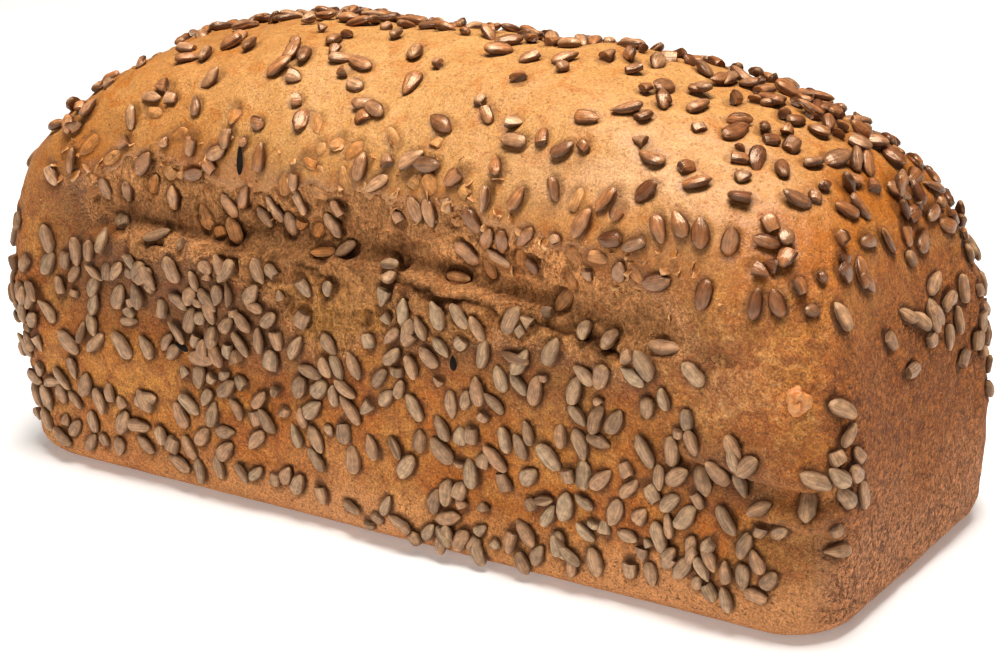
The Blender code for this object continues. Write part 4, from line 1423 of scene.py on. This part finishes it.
def scatter(name, rows, shapes, material, unevenness, dent_size):
    """One piece with a shape for each row, as a plain mesh. Removes the shapes' own objects."""
    points = new_object(name, [row["spot"] for row in rows], [], smooth_faces=False)
    set_attribute(points.data, "turned", [row["turned"] for row in rows], "FLOAT_VECTOR")
    set_attribute(points.data, "size", [row["scale"] for row in rows], "FLOAT_VECTOR")
    set_attribute(points.data, "shape", [row["shape"] for row in rows], "INT")
    for mark in ("tone", "tint"):
        set_attribute(points.data, mark, [row[mark] for row in rows])
    tree = scatter_tree(list(shapes))
    modifier = points.modifiers.new("Scatter shapes", "NODES")
    modifier.node_group = tree
    values = dict(shapes)
    values.update({"Unevenness": unevenness, "Dent size": dent_size, "Finish": material})
    for item in tree.interface.items_tree:
        if item.in_out == "INPUT" and item.name in values:
            modifier[item.identifier] = values[item.name]
    graph = bpy.context.evaluated_depsgraph_get()
    plain = bpy.data.meshes.new_from_object(points.evaluated_get(graph))
    points.modifiers.clear()
    points.data = plain
    plain.name = name
    for helper in shapes.values():
        bpy.data.objects.remove(helper)
    return points


# Shares of the shapes: whole, plump, slim, snapped, middle, bent, tip, round.
WHOLE_SHARES = (0.30, 0.24, 0.18, 0.10, 0.02, 0.05, 0.0, 0.11)
BROKEN_SHARES = (0.0, 0.04, 0.0, 0.40, 0.28, 0.0, 0.28, 0.0)
# Each piece of kernels: its slot, colours (light, dark, tint, painted side shade, tips), roughness,
# shine, shares of the painted side shade, tips and rims, and the colour of its gleam.
KERNEL_FINISHES = {
    "pale_kernels": ("pale_seed",
                     ("kernel_pale", "kernel_brown", "kernel_rosy", "kernel_edge", "fleck"),
                     0.50, 0.34, (0.80, 0.18, 0.0), PLAIN_GLEAM),
    "toasted_kernels": ("toasted_seed",
                        ("toasted", "toasted_dark", "toasted_red", "toasted_edge", "fleck"),
                        0.28, 0.90, (0.95, 0.10, 0.0), WARM_GLEAM),
    "covered_kernels": ("crust", ("covered", "covered_low", "flake", "flake", "flake_edge"),
                        0.60, 0.25, (0.15, 0.40, 0.40), PLAIN_GLEAM)}
# Painted shade on the kernels between the lips: middle along X and upwards, reaches.
SHADED_KERNELS_PATCH = (0.106, 0.043, 0.022, 0.009)
SUNK_IN_CRUMB = 0.0011
LOOSE_TURN = 6.0
ON_EDGE = 0.08
EDGE_ROLL = 60.0
SNAPPED_LENGTH = 0.62
STACKED_LIFT = 0.0005
UNEVENNESS = 0.0014
DENT_SIZE = 0.0042


def kernel_row(kernels, row):
    """A kernel's place, turn, scale, shape and tone, each a little its own."""
    draw = random.Random(7919 * row["index"] + 13)
    sizes = kernels.sizes
    turned, sideways, out = row["axes"]
    basis = Matrix((turned, sideways, out)).transposed()
    on_top = float(smooth(out.z, 0.10, 0.50))
    wild = 1.0 + 1.2 * on_top + (row["kind"] == "stacked")
    pitch, roll = (math.radians(draw.gauss(0.0, LOOSE_TURN)) * wild for _ in range(2))
    if row["kind"] in ("gap", "stacked") and draw.random() < ON_EDGE:
        roll += math.radians(draw.choice((-EDGE_ROLL, EDGE_ROLL)))
    broken = row["share"] < 1.0
    shares = BROKEN_SHARES if broken else WHOLE_SHARES
    shape = draw.choices(range(len(shares)), shares)[0]
    stretch = row["share"] / (SNAPPED_LENGTH if broken else 1.0)
    bulk = 1.0 + 0.04 * on_top
    scale = (sizes.length * row["size"] * stretch * draw.uniform(0.92, 1.08),
             sizes.width * row["size"] * draw.uniform(0.80, 1.02),
             sizes.thickness * bulk * draw.uniform(0.80, 1.15))
    lift = sizes.lift * draw.uniform(0.55, 1.15) + 0.00025 * on_top
    lift -= SUNK_IN_CRUMB * row["torn"] * draw.random()
    tone = draw.random() ** 1.4
    if row["kind"] == "stacked":
        lift += STACKED_LIFT
    if row["kind"] == "covered":
        lift = -draw.uniform(0.0005, 0.0010)
        tone = max(row["torn"], float(smooth(row["spot"].z, 0.103, 0.090)) * draw.uniform(0.7, 1.0))
    spot = row["spot"] + out * lift
    local = Euler((roll, pitch, 0.0)).to_matrix()
    return {"spot": spot, "turned": (basis @ local).to_euler(), "scale": scale, "shape": shape,
            "tone": tone, "tint": draw.random() ** 1.5}


def kernel_group(row, made):
    """The piece that a kernel belongs to. Shifts its tone and its tint to suit its place."""
    x, y, z = row["spot"]
    shielded = 0.012 * float(smooth(x, 0.02, 0.07)) * float(smooth(x, 0.139, 0.125))
    toasted = smooth(z + shielded, 0.084, 0.102) > 0.7 * made["tone"]
    if toasted:
        paler = 0.7 + 0.3 * float(smooth(x, -0.09, -0.01))
        made["tone"] = min(1.0, made["tone"] * paler + 0.62 * float(smooth(x, 0.02, 0.12)))
    elif y < 0.0:
        # Painted shade: the wall's kernels are darker under the dome's overhang and between the
        # lips.
        painted_shade = smooth(z, 0.040, 0.060) * smooth(x, 0.03, -0.03)
        painted_shade = max(painted_shade, 1.5 * patch(x, z, *SHADED_KERNELS_PATCH))
        made["tone"] = min(1.0, made["tone"] + 0.55 * float(painted_shade))
        rosy = max(0.90 * smooth(z, 0.078, 0.092),
                   0.55 * smooth(x, -0.05, -0.09) * smooth(z, 0.055, 0.040))
        made["tint"] = max(made["tint"], float(rosy))
    if x > 0.130 and not toasted:
        made["tint"] = max(made["tint"], 0.75 * float(smooth(z, 0.048, 0.060)))
    if row["kind"] == "covered":
        return "covered_kernels"
    return "toasted_kernels" if toasted else "pale_kernels"


# ---------------------------------------------------------------- operators

def loaf_and_kernels(scene):
    """The loaf's form and its kernels, worked out from the scene's settings."""
    loaf = Loaf(scene.loaf_sizes)
    return loaf, Kernels(loaf, scene.kernel_sizes)


SENSOR_WIDTH = 36.0
LAMP_COLOUR = (1.0, 0.965, 0.91)
SKY_COLOUR = (1.0, 0.98, 0.95)
FLOOR_COLOUR = (0.95, 0.95, 0.95)
FLOOR_REACH = 6.0
FLOOR_LEVEL = -0.0002
# The square lamps: name, place, point that it faces, side.
LAMPS = (("key", (0.12, -0.03, 1.00), (0.02, 0.0, 0.05), 0.60),
         ("fill", (0.10, -1.40, 0.40), (0.0, 0.0, 0.05), 1.1))


class BREAD_OT_stage(Operator):
    """Sets up the camera, the pale floor and the soft lights"""
    bl_idname = "bread.stage"
    bl_label = "Set Up Studio"

    def execute(self, context):
        studio = context.scene.studio_settings
        self.camera(context, studio)
        self.floor(studio.table_glow)
        for name, place, aim, size in LAMPS:
            self.light(name, place, aim, size, getattr(studio, name))
        self.world(context, studio.around)
        context.scene.view_settings.view_transform = "Standard"
        return {"FINISHED"}

    def camera(self, context, studio):
        """Stands the camera at the photograph's viewing angle."""
        azimuth, elevation = studio.azimuth, studio.elevation
        back = Vector((math.sin(azimuth) * math.cos(elevation),
                       -math.cos(azimuth) * math.cos(elevation), math.sin(elevation)))
        right = (-back).cross(Vector((0.0, 0.0, 1.0))).normalized()
        up = right.cross(-back)
        lean = studio.roll
        leaning_right = right * math.cos(lean) + up * math.sin(lean)
        leaning_up = up * math.cos(lean) - right * math.sin(lean)
        data = bpy.data.cameras.new("camera")
        data.lens = studio.lens
        data.sensor_width = SENSOR_WIDTH
        data.sensor_fit = "HORIZONTAL"
        camera = bpy.data.objects.new("camera", data)
        basis = Matrix((leaning_right, leaning_up, back)).transposed().to_4x4()
        camera.matrix_world = (Matrix.Translation(Vector(studio.target) + back * studio.distance)
                               @ basis)
        context.scene.collection.objects.link(camera)
        context.scene.camera = camera

    def floor(self, glow):
        """A wide pale floor that glows a little, just under the loaf."""
        corners = [(FLOOR_REACH * x, FLOOR_REACH * y, FLOOR_LEVEL)
                   for x, y in ((-1, -1), (1, -1), (1, 1), (-1, 1))]
        floor = new_object("floor", corners, [(0, 1, 2, 3)], smooth_faces=False)
        material, _, shader = new_material("floor", FLOOR_COLOUR, 0.7)
        shader.inputs["Base Color"].default_value = rgba(FLOOR_COLOUR)
        shader.inputs["Emission Color"].default_value = (1.0, 1.0, 1.0, 1.0)
        shader.inputs["Emission Strength"].default_value = glow
        shader.inputs["Specular IOR Level"].default_value = 0.1
        floor.data.materials.append(material)

    def light(self, name, place, aim, size, power):
        """A large square lamp that faces a point."""
        data = bpy.data.lights.new(name, "AREA")
        data.energy = power
        data.color = LAMP_COLOUR
        data.size = size
        lamp = bpy.data.objects.new(name, data)
        lamp.location = place
        facing = Vector(aim) - Vector(place)
        lamp.rotation_euler = facing.to_track_quat("-Z", "Y").to_euler()
        bpy.context.scene.collection.objects.link(lamp)

    def world(self, context, strength):
        """Even white light from all round."""
        world = bpy.data.worlds.new("studio")
        world.use_nodes = True
        background = world.node_tree.nodes["Background"]
        background.inputs["Color"].default_value = rgba(SKY_COLOUR)
        background.inputs["Strength"].default_value = strength
        context.scene.world = world


class BREAD_OT_crust(Operator):
    """Makes the crust as one closed mesh with its relief"""
    bl_idname = "bread.crust"
    bl_label = "Make Crust"

    def execute(self, context):
        loaf, kernels = loaf_and_kernels(context.scene)
        piece = CrustMesh(loaf, kernels).build()
        piece.data.materials.append(crust_material(context.scene.bread_colours))
        finish_piece(piece)
        return {"FINISHED"}


class BREAD_OT_crumb(Operator):
    """Makes the rough crumb that shows in the front and the back tear"""
    bl_idname = "bread.crumb"
    bl_label = "Make Torn Crumb"

    def execute(self, context):
        loaf, kernels = loaf_and_kernels(context.scene)
        material = crumb_material(context.scene.bread_colours)
        for name, way, facet in (("crumb_front", -1.0, 0.0006), ("crumb_back", 1.0, 0.0009)):
            piece = CrumbSlab(loaf, kernels, way, facet).build(name)
            piece.data.materials.append(material)
            finish_piece(piece)
        return {"FINISHED"}


class BREAD_OT_kernels(Operator):
    """Scatters the sunflower kernels over and just under the crust"""
    bl_idname = "bread.kernels"
    bl_label = "Scatter Kernels"

    def execute(self, context):
        colours = context.scene.bread_colours
        _, kernels = loaf_and_kernels(context.scene)
        groups = {name: [] for name in KERNEL_FINISHES}
        for row in kernels.rows:
            made = kernel_row(kernels, row)
            groups[kernel_group(row, made)].append(made)
        for name, (slot, tones, *finish) in KERNEL_FINISHES.items():
            tones = [getattr(colours, tone) for tone in tones]
            material = kernel_material(name.replace("_", " "), tones, *finish)
            piece = scatter(name, groups[name], kernel_shapes(), material, UNEVENNESS, DENT_SIZE)
            finish_piece(piece)
        return {"FINISHED"}


# The blister: turn round the loaf, height in mm and half sizes.
BLISTER = (0.971, 67.5, (0.0030, 0.0036, 0.0020))
HALF_SIDE = 0.137
FLAKES_IN_FRONT = 120
FLAKES_BEHIND = 60
# Black slivers of husk: turn round the loaf and height in mm, lean in degrees, length in mm.
HUSKS = ((0.329, 103.4, 8.0, 8.5), (0.264, 47.3, 75.0, 5.5), (0.607, 60.5, 4.0, 4.2),
         (2.30, 52.0, 30.0, 6.0), (2.71, 88.0, -40.0, 6.5))


class BREAD_OT_scraps(Operator):
    """Adds the peeled flakes over the tear, the black slivers of husk and the blister"""
    bl_idname = "bread.scraps"
    bl_label = "Add Scraps"

    def execute(self, context):
        colours = context.scene.bread_colours
        loaf, kernels = loaf_and_kernels(context.scene)
        self.flakes(loaf, colours)
        self.husks(loaf, kernels, colours)
        self.blister(loaf, colours)
        return {"FINISHED"}

    def flakes(self, loaf, colours):
        """Small peeled sheets of skin along the upper edge of each tear."""
        draw = random.Random(5)
        rows = []
        for first, count in ((0.0, FLAKES_IN_FRONT), (2.0, FLAKES_BEHIND)):
            for _ in range(count):
                turn = first + draw.uniform(0.07, 0.91)
                x = (turn - first) * 2.0 * HALF_SIDE - HALF_SIDE
                top, _ = loaf.tear_lines(np.array(x))
                high = float(top) + draw.gauss(0.001, 0.0050)
                rows.append(self.flake(loaf, draw, turn, high))
        shapes = {piece.name: piece for piece in (flake_shape("flake_curled", 0.45, 0.6),
                                                  flake_shape("flake_flat", 0.15, 0.2),
                                                  flake_shape("flake_pointed", 0.30, 0.95))}
        material = edged_material("skin flakes", colours.flake, colours.flake_edge, roughness=0.5)
        piece = scatter("skin_flakes", rows, shapes, material, unevenness=0.0022, dent_size=0.0028)
        finish_piece(piece)

    def flake(self, loaf, draw, turn, high):
        """One flake's place: hinged on the skin, its free edge hanging out over the tear."""
        place, out = (Vector(part) for part in loaf.at_height(turn, high))
        lean = math.pi + draw.gauss(0.0, 0.75)
        uphill = (Vector((0.0, 0.0, 1.0)) - out * out.z).normalized()
        along = uphill * math.cos(lean) + out.cross(uphill) * math.sin(lean)
        basis = Matrix((along, out.cross(along), out)).transposed()
        pitch = Euler((draw.gauss(0.0, 0.3), -draw.uniform(0.05, 0.75), 0.0)).to_matrix()
        length = draw.uniform(0.0012, 0.0034)
        return {"spot": place - out * 0.0004, "turned": (basis @ pitch).to_euler(),
                "scale": (length, length * draw.uniform(0.5, 1.3), 0.0030),
                "shape": draw.randrange(3), "tone": 0.5, "tint": 0.0}

    def husks(self, loaf, kernels, colours):
        """Dark slivers of shell between the kernels."""
        rows = []
        for turn, height, lean, length in HUSKS:
            place, out = loaf.at_height(turn, height * MM)
            axes = kernels.axes(out, math.radians(lean))
            basis = Matrix(axes).transposed() @ Euler((0.6, 0.1, 0.0)).to_matrix()
            rows.append({"spot": Vector(place) + axes[2] * 0.0016, "turned": basis.to_euler(),
                         "scale": (length * MM, 0.0020, 0.0010), "shape": 0, "tone": 0.5,
                         "tint": 0.0})
        shape = kernel_shape("husk_sliver", 0.40, 2.0, 1.8, bend=0.6)
        tones = (colours.husk,) * 4 + (colours.kernel_pale,)
        material = kernel_material("husk", tones, roughness=0.7, shine=0.1, shares=(0.0, 0.0, 0.5))
        piece = scatter("husk_slivers", rows, {shape.name: shape}, material, unevenness=0.0004,
                        dent_size=0.003)
        finish_piece(piece)

    def blister(self, loaf, colours):
        """A curled blister of dough beside the front's right corner."""
        bulk = bmesh.new()
        bmesh.ops.create_icosphere(bulk, subdivisions=5, radius=1.0)
        bulk.verts.index_update()
        spots = np.array([corner.co for corner in bulk.verts])
        faces = [[corner.index for corner in face.verts] for face in bulk.faces]
        bulk.free()
        ring = np.hypot(spots[:, 0], spots[:, 1])
        swirl = np.arctan2(spots[:, 1], spots[:, 0]) + 2.6 * ring
        fold = 0.5 + 0.5 * np.sin(2.0 * swirl + 1.5 * bumps(spots, 0.9, 71))
        size = 1.0 + 0.34 * bumps(spots, 0.9, 72) + 0.16 * bumps(spots, 0.35, 73)
        size = size - 0.24 * fold * smooth(spots[:, 2], 0.0, 0.6)
        turn, height, half = BLISTER
        spots = spots * size[:, None] * np.array(half)
        place, facing = loaf.at_height(turn, height * MM)
        out = Vector(facing)
        sideways = Vector((0.0, 0.0, 1.0)).cross(out)
        axes = Matrix((sideways, out.cross(sideways), out)).transposed()
        spots = spots @ np.array(axes).T + place + np.array(out) * 0.001
        piece = new_object("blister", spots, faces)
        set_attribute(piece.data, "edge", 0.40 * (1.0 - fold))
        piece.data.materials.append(
            edged_material("blister", colours.blister, colours.flake_edge, 0.45))
        finish_piece(piece)


class BREAD_PT_panel(Panel):
    """Lists the loaf's settings and the steps that make it"""
    bl_label = "Sunflower Seed Bread"
    bl_idname = "BREAD_PT_panel"
    bl_space_type = "VIEW_3D"
    bl_region_type = "UI"
    bl_category = "Bread"

    def draw(self, context):
        layout = self.layout
        for step in STEPS:
            layout.operator(step.bl_idname)
        for group in GROUPS:
            settings = getattr(context.scene, group)
            box = layout.box()
            for name in settings.bl_rna.properties.keys():
                if name not in ("rna_type", "name"):
                    box.prop(settings, name)


STEPS = (BREAD_OT_stage, BREAD_OT_crust, BREAD_OT_crumb, BREAD_OT_kernels, BREAD_OT_scraps)
GROUPS = {"loaf_sizes": LoafSizes, "kernel_sizes": KernelSizes, "bread_colours": BreadColours,
          "studio_settings": StudioSettings}


def register():
    for group in GROUPS.values():
        bpy.utils.register_class(group)
    for step in STEPS:
        bpy.utils.register_class(step)
    bpy.utils.register_class(BREAD_PT_panel)
    for name, group in GROUPS.items():
        setattr(bpy.types.Scene, name, PointerProperty(type=group))


def unregister():
    for name in GROUPS:
        delattr(bpy.types.Scene, name)
    bpy.utils.unregister_class(BREAD_PT_panel)
    for step in reversed(STEPS):
        bpy.utils.unregister_class(step)
    for group in reversed(list(GROUPS.values())):
        bpy.utils.unregister_class(group)


def main():
    register()
    bpy.ops.bread.stage()
    bpy.ops.bread.crust()
    bpy.ops.bread.crumb()
    bpy.ops.bread.kernels()
    bpy.ops.bread.scraps()


if __name__ == "__main__":
    main()
